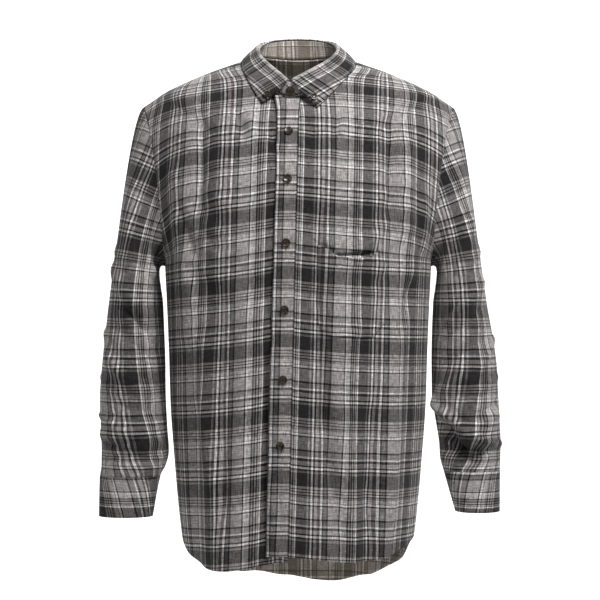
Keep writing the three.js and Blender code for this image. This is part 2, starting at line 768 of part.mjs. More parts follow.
function standVertex(turned, share) {
  const place = (a, b) => {
    const low = neckRingPoint(neckRing(), a);
    low.z += standLift;
    const past = Math.sign(a) * Math.max(Math.abs(a) - 1, 0);
    return low.lerp(neckRingPoint(standTopRing, a - endTaper * past), b);
  };
  const overEnd = smooth((turned - endStep.from) / endStep.span);
  const underEnd = smooth((-turned - endStep.from) / endStep.span);
  const step = 1e-3;
  const across = place(turned + step, share).sub(place(turned - step, share));
  const along = place(turned, share + step).sub(place(turned, share - step));
  const normal = along.clone().cross(across).normalize();
  const lapped = movedOut({ point: place(turned, share), normal }, lapStep * (overEnd - underEnd));
  return { ...lapped, upward: along.normalize() };
}

function addStand() {
  const underEnd = spaced(-1 - pastCentre(underlapPastCentre), -1, 2);
  const overEnd = spaced(1, 1 + pastCentre(placketOverCentre), 2);
  const stops = [...underEnd, ...spaced(-1, 1, neckCells).slice(1, -1), ...overEnd];
  const place = (i, j) => standVertex(stops[i], j / (standRows - 1));
  const vertices = panelVertices(stops.length, standRows, place);
  const faces = gridFaces(stops.length, standRows, false);
  addPiece("collar_stand", wallGeometry(vertices, faces, -halfStiff, halfStiff), trimColour);
  const seat = movedOut(standVertex(1, standButtonShare), halfStiff + lapGap);
  addButton("button_front_1", seat, buttonRadius);
}

// The fall rolls over the stand's top edge and lies on the yoke and the fronts.
// Its outer edge is made from their points, moved out; tipShare and tipLevel are where a collar point lies,
// and the edge drops to that level later for a greater tipSweep.
const fallEdgeLevel = -66;
const fallPoints = {
  left: { tipShare: 0.24, tipLevel: -88 },
  right: { tipShare: 0.3, tipLevel: -86 },
};
const tipSweep = 2.3;
const fallClearance = 3;
const leafStart = 0.01;
const rollLift = 0.9;
const leafFront = { from: 0.8, span: 0.2 };
const leafReach = { start: 0.3, startAtFront: 0.14, end: 0.35, lift: 1.5 };
const fallRollRows = 4;
const fallLeafRows = 7;
const fallButton = { turned: 0.978, row: 9.4 };

function fallEdge(turned) {
  const side = Math.sign(turned) || 1;
  const share = Math.abs(turned);
  if (share <= 0.5) {
    return movedOut(bodyVertex("back", side * 2 * share, fallEdgeLevel), fallClearance);
  }
  const { tipShare, tipLevel } = fallPoints[side > 0 ? "left" : "right"];
  const toTip = 2 * share - 1;
  const q = side * lerp(1, tipShare, toTip);
  const level = lerp(fallEdgeLevel, tipLevel, toTip ** tipSweep);
  return movedOut(bodyVertex("front", q, level), fallClearance);
}

function fallPoint(turned, j) {
  const towardFront = smooth((Math.abs(turned) - leafFront.from) / leafFront.span);
  const { point, normal, upward } = standVertex(turned * (1 - leafStart * towardFront), 1);
  const overLap = turned < 0 ? 2 * lapStep * towardFront : 0;
  const centre = point.clone()
    .addScaledVector(normal, collarRollRadius + overLap)
    .addScaledVector(upward, rollLift);
  const bend = Math.PI * Math.max(1 - j / fallRollRows, 0);
  const rolled = centre
    .addScaledVector(normal, collarRollRadius * Math.cos(bend))
    .addScaledVector(upward, collarRollRadius * Math.sin(bend));
  if (j < fallRollRows) {
    return rolled;
  }
  const end = fallEdge(turned);
  const length = rolled.distanceTo(end.point);
  const startReach = lerp(leafReach.start, leafReach.startAtFront, towardFront) * length;
  const startHandle = rolled.clone().addScaledVector(upward, -startReach);
  const endHandle = end.point.clone()
    .lerp(rolled, leafReach.end)
    .addScaledVector(end.normal, leafReach.lift);
  return bezier(rolled, startHandle, endHandle, end.point, (j - fallRollRows) / fallLeafRows);
}

function addFall() {
  const rows = fallRollRows + fallLeafRows + 1;
  const points = spaced(-1, 1, neckCells).map((turned) => (
    Array.from({ length: rows }, (_, j) => fallPoint(turned, j))
  ));
  const vertices = points.flatMap((column, i) => column.map((point, j) => {
    const next = points[Math.min(i + 1, neckCells)][j];
    const before = points[Math.max(i - 1, 0)][j];
    const below = column[Math.min(j + 1, rows - 1)];
    const above = column[Math.max(j - 1, 0)];
    const normal = next.clone().sub(before).cross(above.clone().sub(below)).normalize().negate();
    return { point, normal: j === 0 ? standVertex(lerp(-1, 1, i / neckCells), 1).normal.negate() : normal };
  }));
  const faces = gridFaces(neckCells + 1, rows, false);
  addPiece("collar_fall", wallGeometry(vertices, faces, -halfStiff, halfStiff), trimColour);
  for (const [name, side] of [["left", 1], ["right", -1]]) {
    const turned = side * fallButton.turned;
    const normal = normalOf(fallPoint, turned, fallButton.row, 1);
    const seat = { point: fallPoint(turned, fallButton.row), normal };
    addButton(`button_collar_${name}`, movedOut(seat, halfStiff + lapGap), collarButtonRadius);
  }
}

// Heights of the placket's buttons
const placketButtons = [-119, -193, -291, -393, -500, -601];

addLeftFront();
addPocket();
addRightFront();
addBackAndYoke();
for (const side of [1, -1]) {
  addSleeve(side);
  addCuff(side);
}
addStand();
addFall();
placketButtons.forEach((level, i) => {
  const seat = movedOut(bodyVertex("front", 0, level), trimTo + lapGap);
  addButton(`button_front_${i + 2}`, seat, buttonRadius);
});

export default shirt;
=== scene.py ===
import bmesh
import bpy
import numpy as np
from math import pi, radians
from mathutils import Matrix, Vector


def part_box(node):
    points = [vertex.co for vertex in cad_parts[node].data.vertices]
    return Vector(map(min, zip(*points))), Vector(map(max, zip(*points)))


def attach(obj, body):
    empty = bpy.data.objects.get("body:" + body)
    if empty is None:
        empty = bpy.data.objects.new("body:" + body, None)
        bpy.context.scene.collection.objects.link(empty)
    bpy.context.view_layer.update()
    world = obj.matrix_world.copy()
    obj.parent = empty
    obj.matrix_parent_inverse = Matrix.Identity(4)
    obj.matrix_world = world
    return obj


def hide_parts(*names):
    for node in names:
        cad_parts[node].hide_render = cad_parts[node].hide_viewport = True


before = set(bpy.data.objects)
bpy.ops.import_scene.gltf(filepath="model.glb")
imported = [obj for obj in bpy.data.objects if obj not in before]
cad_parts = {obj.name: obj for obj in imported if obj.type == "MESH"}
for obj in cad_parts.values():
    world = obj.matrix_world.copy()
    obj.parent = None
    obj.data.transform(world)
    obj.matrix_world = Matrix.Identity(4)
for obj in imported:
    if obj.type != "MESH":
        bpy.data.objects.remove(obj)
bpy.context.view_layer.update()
scene = bpy.context.scene
mm = 0.001

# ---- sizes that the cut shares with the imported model, in millimetres
cut = {
    "wall": 1.6, "stiffWall": 2.2, "seamGap": 0.3, "lapGap": 0.6,
    "placketWidth": 34, "placketOverCentre": 19, "underlapPastCentre": 15,
    "cuffDepth": 63, "cuffOverlap": 26, "yokeSeam": -112,
    "pocketTop": -295, "pocketBottom": -435,
    "underarm": -335, "shoulder": -158, "neck": -62,
    "fullness": 0.6, "capEnd": -385,
}
trimMiddle = cut["wall"] + cut["seamGap"]
lapStep = (cut["stiffWall"] + cut["lapGap"]) / 2


# ---- colours and nodes
def linear(hexColour):
    values = [int(hexColour[i:i + 2], 16) / 255 for i in (1, 3, 5)]
    return [v / 12.92 if v <= 0.04045 else ((v + 0.055) / 1.055) ** 2.4 for v in values] + [1.0]


# kind goes without its "ShaderNode", and a node given as an input stands for its first output
def addNode(tree, kind, inputs=None, **settings):
    node = tree.nodes.new("ShaderNode" + kind)
    for key, value in settings.items():
        setattr(node, key, value)
    for key, value in (inputs or {}).items():
        if isinstance(value, bpy.types.Node):
            value = value.outputs[0]
        if isinstance(value, bpy.types.NodeSocket):
            tree.links.new(value, node.inputs[key])
        else:
            node.inputs[key].default_value = value
    return node


def addSum(tree, operation, *values, kind="Math"):
    return addNode(tree, kind, dict(enumerate(values)), operation=operation)


def newMaterial(name):
    material = bpy.data.materials.new(name)
    material.use_nodes = True
    material.node_tree.nodes.clear()
    return material, material.node_tree


# The plaid as it was charted from the cloth: stripe widths in millimetres, left to right and top to bottom
plaid = {
    "yarns": {
        "charcoal": "#242223", "black": "#100f10", "grey": "#5a5757", "rose": "#a9a3a1",
        "white": "#f6f3f1", "maroon": "#453b3e", "pale": "#c4bfbc", "ash": "#7f7b7b",
    },
    "warp": [
        ("charcoal", 15.9), ("ash", 2.3), ("charcoal", 3.3), ("white", 2.9), ("black", 2.8), ("rose", 4.8),
        ("maroon", 4.8), ("white", 3.1), ("black", 1.9), ("grey", 5.0), ("black", 2.5), ("rose", 17.9),
        ("black", 1.8), ("white", 2.5), ("pale", 6.1), ("black", 2.0), ("ash", 2.1), ("black", 2.0),
        ("rose", 1.9), ("black", 1.9), ("rose", 2.0), ("black", 0.9), ("white", 2.2),
    ],
    "weft": [
        ("charcoal", 20.0), ("rose", 3.6), ("black", 1.8), ("rose", 2.8), ("black", 1.8), ("rose", 2.7),
        ("black", 1.8), ("ash", 2.9), ("pale", 5.5), ("grey", 1.2), ("white", 3.1), ("black", 2.0),
        ("rose", 18.9), ("black", 2.8), ("ash", 7.8), ("white", 2.8), ("charcoal", 4.0), ("rose", 6.4),
        ("black", 2.4), ("white", 3.4), ("black", 2.8), ("ash", 3.5),
    ],
    "twillRepeat": 1.8,       # four threads of 0.45 mm
    "twillContrast": 0.16,    # the nap blurs the weave, so neither thread hides the other
    "blendGamma": 2.4,        # a dark yarn shades the light one beside it, so the two blend darker
    "napJitter": 0.5,
    "heather": 0.42,          # each yarn is spun from lighter and darker fibres
    "roughness": 0.93,
    "sheen": 0.1,
    "bump": 0.18,
}


# Cotton flannel, yarn dyed and woven as a twill, then brushed: matt, with soft stripe edges and a faint halo
def flannelMaterial(name, fade, fadeColour):
    material, tree = newMaterial(name)
    cloth = addNode(tree, "UVMap", uv_map="cloth")
    fuzz = addNode(tree, "TexNoise", {"Vector": cloth, "Scale": 1500.0, "Detail": 2.0})
    middle, jitter = (0.5,) * 3, (plaid["napJitter"] * mm,) * 3
    centred = addSum(tree, "SUBTRACT", fuzz.outputs["Color"], middle, kind="VectorMath")
    ragged = addSum(tree, "MULTIPLY_ADD", centred, jitter, cloth, kind="VectorMath")
    axes = addNode(tree, "SeparateXYZ", {0: ragged})
    stripes = []
    for axis, family in enumerate(("warp", "weft")):
        repeat = sum(width for _, width in plaid[family])
        share = addSum(tree, "DIVIDE", axes.outputs[axis], repeat * mm)
        ramp = addNode(tree, "ValToRGB", {0: addSum(tree, "FRACT", share)})
        ramp.color_ramp.interpolation = "CONSTANT"
        stops = ramp.color_ramp.elements
        at = 0.0
        for i, (yarn, width) in enumerate(plaid[family]):
            stop = stops[0] if i == 0 else stops.new(at / repeat)
            stop.position, stop.color = at / repeat, linear(plaid["yarns"][yarn])
            at += width
        stops.remove(stops[len(plaid[family])])
        stripes.append(addNode(tree, "Gamma", {0: ramp, 1: 1 / plaid["blendGamma"]}))
    diagonal = addSum(tree, "ADD", axes.outputs[0], axes.outputs[1])
    turns = addSum(tree, "MULTIPLY", diagonal, 2 * pi / (plaid["twillRepeat"] * mm))
    over = addSum(tree, "MULTIPLY_ADD", addSum(tree, "SINE", turns), plaid["twillContrast"], 0.5)
    blend = addNode(tree, "Mix", {"Factor": over, 6: stripes[0], 7: stripes[1]}, data_type="RGBA")
    shade = addNode(tree, "Gamma", {0: blend.outputs[2], 1: plaid["blendGamma"]})
    spread = plaid["heather"]
    for stretch, seed in (((1, 0.12, 1), 2.0), ((0.12, 1, 1), 9.0)):
        drawn = addSum(tree, "MULTIPLY_ADD", cloth, stretch, (seed, 0, 0), kind="VectorMath")
        yarn = addNode(tree, "TexNoise", {"Vector": drawn, "Scale": 700.0, "Detail": 3.0})
        level = addNode(tree, "MapRange", {0: yarn, 1: 0.3, 2: 0.7, 3: 1 - spread, 4: 1 + spread})
        shade = addNode(tree, "HueSaturation", {"Value": level, "Color": shade})
    faded = addNode(tree, "Mix", {"Factor": fade, 6: shade, 7: linear(fadeColour)}, data_type="RGBA")
    height = addSum(tree, "ADD", fuzz, over)
    bump = addNode(tree, "Bump", {"Strength": plaid["bump"], "Distance": 0.4 * mm, "Height": height})
    shader = addNode(tree, "BsdfPrincipled", {
        "Base Color": faded.outputs[2], "Roughness": plaid["roughness"], "Sheen Weight": plaid["sheen"],
        "Sheen Roughness": 0.6, "Specular IOR Level": 0.12, "Normal": bump,
    })
    addNode(tree, "OutputMaterial", {0: shader})
    return material


flannel = flannelMaterial("brushedFlannel", 0.0, "#b9ab98")
flannelInside = flannelMaterial("flannelWrongSide", 0.28, "#a8977f")


def plainMaterial(name, dark, light, scale, roughness, coat=0.0, bump=0.1):
    material, tree = newMaterial(name)
    place = addNode(tree, "TexCoord").outputs["Object"]
    grain = addNode(tree, "TexNoise", {"Vector": place, "Scale": scale, "Detail": 3.0, "Distortion": 1.5})
    ramp = addNode(tree, "ValToRGB", {0: grain})
    for stop, position, colour in zip(ramp.color_ramp.elements, (0.38, 0.64), (dark, light)):
        stop.position, stop.color = position, linear(colour)
    relief = addNode(tree, "Bump", {"Strength": bump, "Distance": 0.1 * mm, "Height": grain})
    shader = addNode(tree, "BsdfPrincipled", {
        "Base Color": ramp, "Roughness": roughness, "Coat Weight": coat, "Normal": relief,
    })
    addNode(tree, "OutputMaterial", {0: shader})
    return material


# Polyester resin, cast and tumbled: clouded like tortoiseshell, smooth with a soft gloss
tortoiseshell = plainMaterial("castTortoiseshellResin", "#120d0a", "#46351f", 420.0, 0.3, coat=0.3, bump=0.02)
# Spun polyester sewing thread: matt, with a slight change of shade along each stitch
sewingThread = plainMaterial("spunSewingThread", "#4a4748", "#6e6a6a", 2500.0, 0.8)
# The same thread worked close round the buttonholes
buttonholeThread = plainMaterial("buttonholeThread", "#55504d", "#8a827b", 2500.0, 0.8)
# Painted shade: a near black for the slit between its bars, where little light gets in
slitShade = plainMaterial("buttonholeSlit", "#0d0c0c", "#171515", 900.0, 0.95)
print("materials done")


# ---- the body's surface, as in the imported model. Each row is one ring of the body: level and y at the
# centre front and at the centre back, the side's x and level, its y on the front half and on the back half,
# how far it turns, slopes and rises there in degrees, and how much the neck narrows and dips in front
ringRows = [
    *([level, front, level, back, x, sideLevel, 4, 4, 0, 0, 0, 0, 0] for level, front, back, x, sideLevel in (
        (-880, -146, 152, 166, -880), (-760, -151, 150, 184, -760), (-700, -151, 146, 191, -700),
        (-618, -149, 140, 198, -618), (-550, -147, 136, 203, -550), (-457, -147, 134, 206, -457),
        (-390, -149, 138, 209, -386), (-335, -151, 143, 212, -325),
    )),
    [-312, -152, -308, 145, 213, -296, -36, 46, 28, 0, 0, 0, 0],
    [-278, -151, -266, 147, 216, -245, -55, 66, 46, 0, 0, 0, 0],
    [-240, -149, -215, 147, 222, -190, -57, 68, 52, 5, 0, 0, 0],
    [-204, -143, -160, 141, 230, -135, -49, 58, 58, 15, 0, 0, 0],
    [-176, -136, -112, 128, 239, -95, -31, 38, 62, 25, 0, 0, 0],
    [-158, -130, -88, 119, 247, -70, 4, 4, 52, 30, 0, 0, 0],
]
shoulderRows = [
    ringRows[-1],
    [-132, -119, -58, 103, 207, -44, 2, 2, 22, 30, 4, 0.03, 0],
    [-98, -102, -24, 84, 146, -19, -10, -10, 6, 24, 16, 0.15, 0],
    [-62, -82, 12, 60, 82, -2, -20, -20, 0, 0, 28, 0.35, 0],
]
standTop = np.array([-39, -87, 45, 66, 63, 20, -4, -4, 0, 0, 22, 0.15, 1], float)


def smooth(value):
    value = np.clip(value, 0, 1)
    return value * value * (3 - 2 * value)


def lerp(a, b, t):
    return a + (b - a) * t


def shares(count):
    return np.linspace(0, 1, count)


def tableAt(rows, at):
    rows = np.array(rows, float)
    at = np.asarray(at, float)
    low = np.clip(np.searchsorted(rows[:, 0], at) - 1, 0, len(rows) - 2)
    before, after = rows[np.maximum(low - 1, 0)], rows[np.minimum(low + 2, len(rows) - 1)]
    a, b = rows[low], rows[low + 1]
    span = (b - a)[..., :1]
    t = (at - a[..., 0])[..., None] / span
    turnsLow = ((b - a) * (a - before) <= 0) & (low > 0)[..., None]
    turnsHigh = ((after - b) * (b - a) <= 0) & (low < len(rows) - 2)[..., None]
    slopeLow = np.where(turnsLow, 0, (b - before) / (b - before)[..., :1])
    slopeHigh = np.where(turnsHigh, 0, (after - a) / (after - a)[..., :1])
    return (a * (2 * t ** 3 - 3 * t ** 2 + 1) + b * (3 * t ** 2 - 2 * t ** 3)
            + slopeLow * span * (t ** 3 - 2 * t ** 2 + t) + slopeHigh * span * (t ** 3 - t ** 2))


def ringAt(level):
    below = np.asarray(level)[..., None] < cut["shoulder"]
    return np.where(below, tableAt(ringRows, level), tableAt(shoulderRows, level))


def centreX(level):
    return -13 + 0.0235 * (np.minimum(level, cut["neck"]) - cut["neck"])


def bezier(start, startHandle, endHandle, end, t):
    return (start * (1 - t) ** 3 + startHandle * 3 * t * (1 - t) ** 2
            + endHandle * 3 * t ** 2 * (1 - t) + end * t ** 3)


def stack(x, y, z):
    return np.stack(np.broadcast_arrays(x, y, z), -1).astype(float)


# facing is 1 on the front half and -1 on the back half; q runs from -1 at the right edge to 1 at the left
def ringPoint(ring, q, facing):
    (front, frontY, back, backY, edgeX, edgeZ, frontEdgeY, backEdgeY,
     turn, slope, rise, narrow, vee) = np.moveaxis(ring, -1, 0)
    side = np.where(np.asarray(q) < 0, -1, 1)
    turn, slope, rise = np.radians(turn), np.radians(slope), np.radians(rise)
    if facing > 0:
        centre, edge = stack(centreX(front), frontY, front), stack(side * edgeX, frontEdgeY, edgeZ)
        reach = stack(cut["fullness"] - narrow, 0.13 * vee, 0.35 * vee)
    else:
        centre, edge = stack(0 * back, backY, back), stack(side * edgeX, backEdgeY, edgeZ)
        reach = np.array([cut["fullness"], 0, 0])
    passing = stack(side * np.cos(slope) * np.sin(turn), facing * np.cos(rise) * np.cos(turn),
                    -np.sin(slope) * np.sin(turn) + facing * np.sin(rise) * np.cos(turn))
    gap = edge - centre
    centreHandle = centre + reach * gap
    edgeHandle = edge - passing * (cut["fullness"] * np.hypot(gap[..., 1], gap[..., 2]))[..., None]
    return bezier(centre, centreHandle, edgeHandle, edge, np.abs(q)[..., None])


def shareOf(distance, level):
    ring = ringAt(level)
    width = np.abs(np.sign(distance) * ring[..., 4] - centreX(level))
    return distance / (3 * (cut["fullness"] - ring[..., 11]) * width)


def edgeShare(level, facing):
    ring = ringAt(level)
    y, z, edgeY = (1, 0, 6) if facing > 0 else (3, 2, 7)
    reach = cut["fullness"] * np.hypot(ring[..., edgeY] - ring[..., y], ring[..., 5] - ring[..., z])
    return 1 - cut["seamGap"] / 2 / (3 * reach)


def unit(vectors):
    return vectors / np.maximum(np.linalg.norm(vectors, axis=-1, keepdims=True), 1e-12)


def normalOf(place, u, v, facing):
    step = 1e-3
    return unit(np.cross(place(u + step, v) - place(u - step, v), place(u, v + step) - place(u, v))) * facing


# Folds as soft ridges, or valleys where the height is negative: x, z at both ends, width, height
folds = {
    "front": [
        [30, -262, 31, -380, 9, -7], [31, -380, 42, -560, 9, -8], [42, -560, 60, -720, 12, -9],
        [50, -300, 62, -560, 15, 6], [62, -560, 84, -780, 18, 8], [-52, -470, -60, -780, 9, -6],
        [-80, -430, -92, -790, 16, 7], [-148, -110, -150, -250, 12, -6], [-120, -120, -110, -260, 18, 5],
        [-190, -190, -168, -420, 13, 8], [-170, -250, -70, -400, 16, 5], [-140, -460, -120, -790, 17, 8],
        [-160, -560, -158, -790, 12, -6], [140, -110, 146, -300, 12, -6], [168, -150, 172, -330, 12, 7],
        [120, -330, 70, -470, 16, 5], [150, -420, 128, -780, 17, 8], [108, -560, 104, -790, 12, -6],
        [70, -110, 30, -200, 14, 4], [-70, -105, -45, -190, 14, 4],
    ],
    "back": [
        [-150, -190, -110, -420, 18, 7], [150, -190, 115, -420, 18, 7], [-60, -300, -70, -840, 20, 8],
        [10, -420, 0, -850, 18, -7], [70, -360, 78, -840, 20, 8], [-130, -480, -135, -830, 16, -6],
        [135, -500, 130, -830, 16, -6], [-168, -420, -160, -800, 12, 6], [170, -420, 158, -800, 12, 6],
    ],
    # smaller drapes that only the cloth here has
    "fineDepth": 1.9,
    "frontFine": [
        [30, -262, 34, -400, 5, -3.5], [34, -400, 42, -590, 5, -4.4], [42, -590, 58, -700, 7, -4.4],
        [-49, -430, -50, -640, 7, -4.4], [-50, -600, -50, -790, 6, -6.0], [190, -215, 60, -330, 8, 3.0],
        [-96, -72, -82, -140, 6, -3.0], [-78, -75, -66, -140, 6, 2.4], [66, -76, 52, -140, 6, -2.6],
        [-152, -114, -154, -250, 6, -4.0], [143, -106, 145, -290, 6, -3.6], [196, -180, 192, -330, 8, 4.0],
        [-190, -200, -150, -330, 7, -3.4], [-176, -300, -150, -420, 8, 3.4], [182, -330, 150, -450, 8, -3.4],
        [-150, -480, -128, -700, 8, 3.6], [-116, -520, -108, -780, 7, -3.6], [124, -480, 112, -780, 8, -3.6],
        [150, -520, 140, -780, 8, 3.2], [-30, -560, -28, -770, 6, -2.4],
        [-170, -190, -80, -250, 8, 2.2], [-178, -230, -90, -300, 7, 2.0], [-186, -290, -110, -360, 8, 2.2],
        [-60, -330, -40, -430, 6, -2.0], [-130, -300, -40, -340, 9, 1.6], [180, -180, 110, -240, 7, 2.0],
        [190, -240, 120, -310, 8, 2.2], [160, -320, 90, -370, 7, -1.8], [100, -400, 60, -470, 8, 1.8],
        [-45, -110, -30, -160, 5, -1.8], [20, -105, 28, -170, 6, -1.6], [95, -620, 120, -760, 7, -2.2],
        [-100, -600, -125, -760, 6, -2.0], [10, -650, 16, -770, 6, 1.6],
    ],
    "backFine": [
        [-120, -230, -30, -300, 9, 2.0], [120, -240, 40, -310, 9, 2.0], [-40, -400, -30, -560, 8, -2.0],
        [40, -460, 44, -640, 8, 2.0], [-100, -560, -96, -760, 7, 2.2], [104, -600, 100, -780, 7, 2.0],
    ],
}


def foldHeight(rows, across, z, zStretch, taper=0.0):
    height = np.zeros(np.shape(z))
    for across0, z0, across1, z1, width, rise in rows:
        run, drop = across1 - across0, z1 - z0
        along = np.clip(((across - across0) * run + (z - z0) * drop) / (run ** 2 + drop ** 2), 0, 1)
        distance = np.hypot(across - lerp(across0, across1, along), (z - lerp(z0, z1, along)) / zStretch)
        ends = smooth(along / taper) * smooth((1 - along) / taper) if taper else 1
        height += rise * ends * np.exp(-(distance / width) ** 2)
    return height


def smoothBody(q, level, facing):
    return ringPoint(ringAt(level), q, facing)


def bodyPoint(q, level, facing):
    half = "front" if facing > 0 else "back"
    base = smoothBody(q, level, facing)
    fade = smooth((1 - np.abs(q)) / 0.14) * smooth((cut["neck"] - 12 - level) / 50)
    x, z = base[..., 0], base[..., 2]
    fineHeight = foldHeight(folds[half + "Fine"], x, z, 2, taper=0.4)
    height = (foldHeight(folds[half], x, z, 2) + fineHeight * folds["fineDepth"]) * fade
    normal = normalOf(lambda a, b: smoothBody(a, b, facing), q, level, facing)
    return base + normal * height[..., None]


def bodyVertex(q, level, facing):
    q, level = np.broadcast_arrays(np.asarray(q, float), np.asarray(level, float))
    return bodyPoint(q, level, facing), normalOf(lambda a, b: bodyPoint(a, b, facing), q, level, facing)


# ---- cloth pieces
def addObject(name, data):
    item = bpy.data.objects.new(name, data)
    scene.collection.objects.link(item)
    return item


def addMesh(name, bm, *materials):
    mesh = bpy.data.meshes.new(name)
    bm.to_mesh(mesh)
    bm.free()
    mesh.shade_smooth()
    for material in materials:
        mesh.materials.append(material)
    return addObject(name, mesh)


def addLine(bm, points):
    verts = [bm.verts.new(point) for point in points]
    return verts, [bm.edges.new(pair) for pair in zip(verts, verts[1:])]


def addPiece(name, bm, *materials, slot="flannel"):
    piece = addMesh(name, bm, *materials)
    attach(piece, "root")
    return piece


# points and normals are grids of rows from the bottom up; cloth gives each point's place on the flat cloth
def clothPiece(name, node, points, normals, cloth, wall=cut["wall"], closed=False):
    rows, columns = points.shape[:2]
    bm = bmesh.new()
    bm.loops.layers.uv.new("cloth")
    bmesh.ops.create_grid(bm, x_segments=columns - 1, y_segments=rows - 1, size=1, calc_uvs=True)
    flat = bm.loops.layers.uv["cloth"]
    placed = {}
    for vertex in bm.verts:
        i = round((vertex.co.x + 1) / 2 * (columns - 1))
        j = round((vertex.co.y + 1) / 2 * (rows - 1))
        placed[vertex.index] = (i, j)
        vertex.co = points[j, i] * mm
    for face in bm.faces:
        for loop in face.loops:
            i, j = placed[loop.vert.index]
            loop[flat].uv = cloth[j, i] * mm
    bm.normal_update()
    bm.faces.ensure_lookup_table()
    middle = bm.faces[len(bm.faces) // 2]
    i, j = placed[middle.verts[0].index]
    if middle.normal.dot(Vector(normals[j, i])) < 0:
        bmesh.ops.reverse_faces(bm, faces=bm.faces)
    if closed:
        bmesh.ops.remove_doubles(bm, verts=bm.verts, dist=1e-6)
    piece = addPiece(name, bm, flannel, flannelInside)
    shell = piece.modifiers.new("wall", "SOLIDIFY")
    shell.thickness = wall * mm
    shell.offset = 0
    shell.material_offset = 1
    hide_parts(node)
    return piece, points, normals


# The cloth's own grain: down the cloth along the columns, and across it along the rows
def clothGrain(points, baseRow, firstAcross, base=None):
    steps = np.hypot(*np.moveaxis(np.diff(points, axis=0)[..., 1:], -1, 0))
    rise = np.vstack([np.zeros((1, points.shape[1])), np.cumsum(steps, axis=0)])
    base = -points[baseRow, :, 2] if base is None else base
    down = base - (rise - rise[baseRow])
    lengths = np.linalg.norm(np.diff(points, axis=1), axis=-1)
    widths = np.sqrt(np.maximum(lengths ** 2 - np.diff(down, axis=1) ** 2, 0))
    across = firstAcross + np.hstack([np.zeros((len(points), 1)), np.cumsum(widths, axis=1)])
    return across, down


def alongRows(points):
    lengths = np.linalg.norm(np.diff(points, axis=1), axis=-1)
    return np.hstack([np.zeros((len(points), 1)), np.cumsum(lengths, axis=1)])


def fromMiddle(across):
    return across - across[:, across.shape[1] // 2][:, None]


# the hem: share of the way to the side, then the level on the left front, the right front and the back
hemRows = [
    [0, -768, -779, -848], [0.15, -774, -787, -847], [0.35, -781, -794, -840], [0.55, -776, -792, -824],
    [0.75, -764, -778, -798], [0.9, -755, -760, -766], [1, -751, -752, -752],
]


def levelRows(hem, stops, cells):
    rows = [lerp(hem, stops[0], t) for t in shares(cells[0] + 1)[:-1]]
    for low, high, count in zip(stops, stops[1:], cells[1:]):
        rows += [lerp(low, high, t) + 0 * hem for t in shares(count + 1)[:-1]]
    return np.array(rows + [stops[-1] + 0 * hem])


pocket = {
    "from": 0.13, "to": 0.45, "columns": 30, "rows": 36, "corner": 22, "slantFrom": 0.62,
    "open": 5.0, "openFrom": 0.7, "sag": 20.0, "farRise": 7.0,
    "dip": 5.5, "dipHeight": 4, "dipAbove": 2,
}


def pocketSag(t):
    return pocket["sag"] * smooth(t / 0.3) - pocket["farRise"] * smooth((t - 0.82) / 0.18)


# the rows lie closer together where the pocket's mouth is
fronts = {
    "columns": 66, "cells": (100, 4, 26, 33, 36), "plainRow": 50, "pastHem": 0.05,
    "leftAcross": -24.3, "leftDown": 90.1, "leftBow": (16, 110),
    "rightAcross": 31.6, "rightDown": 83.6, "rightBow": (30, 130), "underlapStep": 12,
}
stops = (cut["underarm"], cut["pocketTop"] - 28, cut["pocketTop"] + 8, cut["shoulder"], cut["neck"])


def frontGrid(edge, side, hemColumn):
    t = shares(fronts["columns"])
    hem = tableAt(hemRows, np.clip(lerp(-fronts["pastHem"], 1, t), 0, 1))[:, hemColumn]
    level = levelRows(hem, stops, fronts["cells"])
    return lerp(shareOf(edge, level), side * edgeShare(level, 1), t), level


def clothOfFront(name, side, q, level, firstAcross):
    across, down = clothGrain(smoothBody(q, level, 1), fronts["cells"][0], firstAcross)
    bow, reach = fronts[name + "Bow"]
    down = down - bow * (1 - np.exp(-np.abs(across) / reach))
    return np.dstack([side * across + fronts[name + "Across"], down + fronts[name + "Down"]])


def buildLeftFront():
    q, level = frontGrid(-cut["placketOverCentre"], 1, 1)
    points, normals = bodyVertex(q, level, 1)
    inPocket = (q - pocket["from"]) / (pocket["to"] - pocket["from"])
    mouth = cut["pocketTop"] - pocketSag(inPocket) + pocket["dipAbove"]
    dip = pocket["dip"] * np.exp(-((level - mouth) / pocket["dipHeight"]) ** 2)
    dip *= smooth(inPocket / 0.15) * smooth((1 - inPocket) / 0.15)
    points = points - normals * dip[..., None]
    cloth = clothOfFront("left", 1, q, level, -cut["placketOverCentre"])
    return (q, level, cloth), *clothPiece("frontLeft", "front_left", points, normals, cloth)


def buildRightFront():
    q, level = frontGrid(cut["underlapPastCentre"], -1, 2)
    points, normals = bodyVertex(q, level, 1)
    beyond = (q - shareOf(-cut["placketOverCentre"], level)) / shareOf(fronts["underlapStep"], level)
    points = points - normals * ((cut["wall"] + cut["lapGap"]) * smooth(1 + beyond))[..., None]
    cloth = clothOfFront("right", -1, q, level, -cut["underlapPastCentre"])
    return clothPiece("frontRight", "front_right", points, normals, cloth)


placket = {"columns": 15, "rows": 220, "hemLevel": -760.0, "belowNeck": 4, "across": 54.0, "puff": 0.35,
           "stitchIn": 5.5}


def buildPlacket():
    t = shares(placket["columns"])[None, :]
    distance = lerp(-cut["placketOverCentre"], cut["placketWidth"] - cut["placketOverCentre"], t)
    hemShare = np.clip(np.abs(shareOf(distance, placket["hemLevel"] + 0 * distance)), 0, 1)
    level = lerp(tableAt(hemRows, hemShare)[..., 1], cut["neck"] - placket["belowNeck"],
                 shares(placket["rows"])[:, None])
    points, normals = bodyVertex(shareOf(distance + 0 * level, level), level, 1)
    puff = placket["puff"] * np.sin(pi * t) ** 0.5
    points = points + normals * (trimMiddle + puff)[..., None]
    cloth = np.dstack([distance + 0 * level + placket["across"], fronts["leftDown"] - points[..., 2]])
    return clothPiece("placketCloth", "placket", points, normals, cloth)


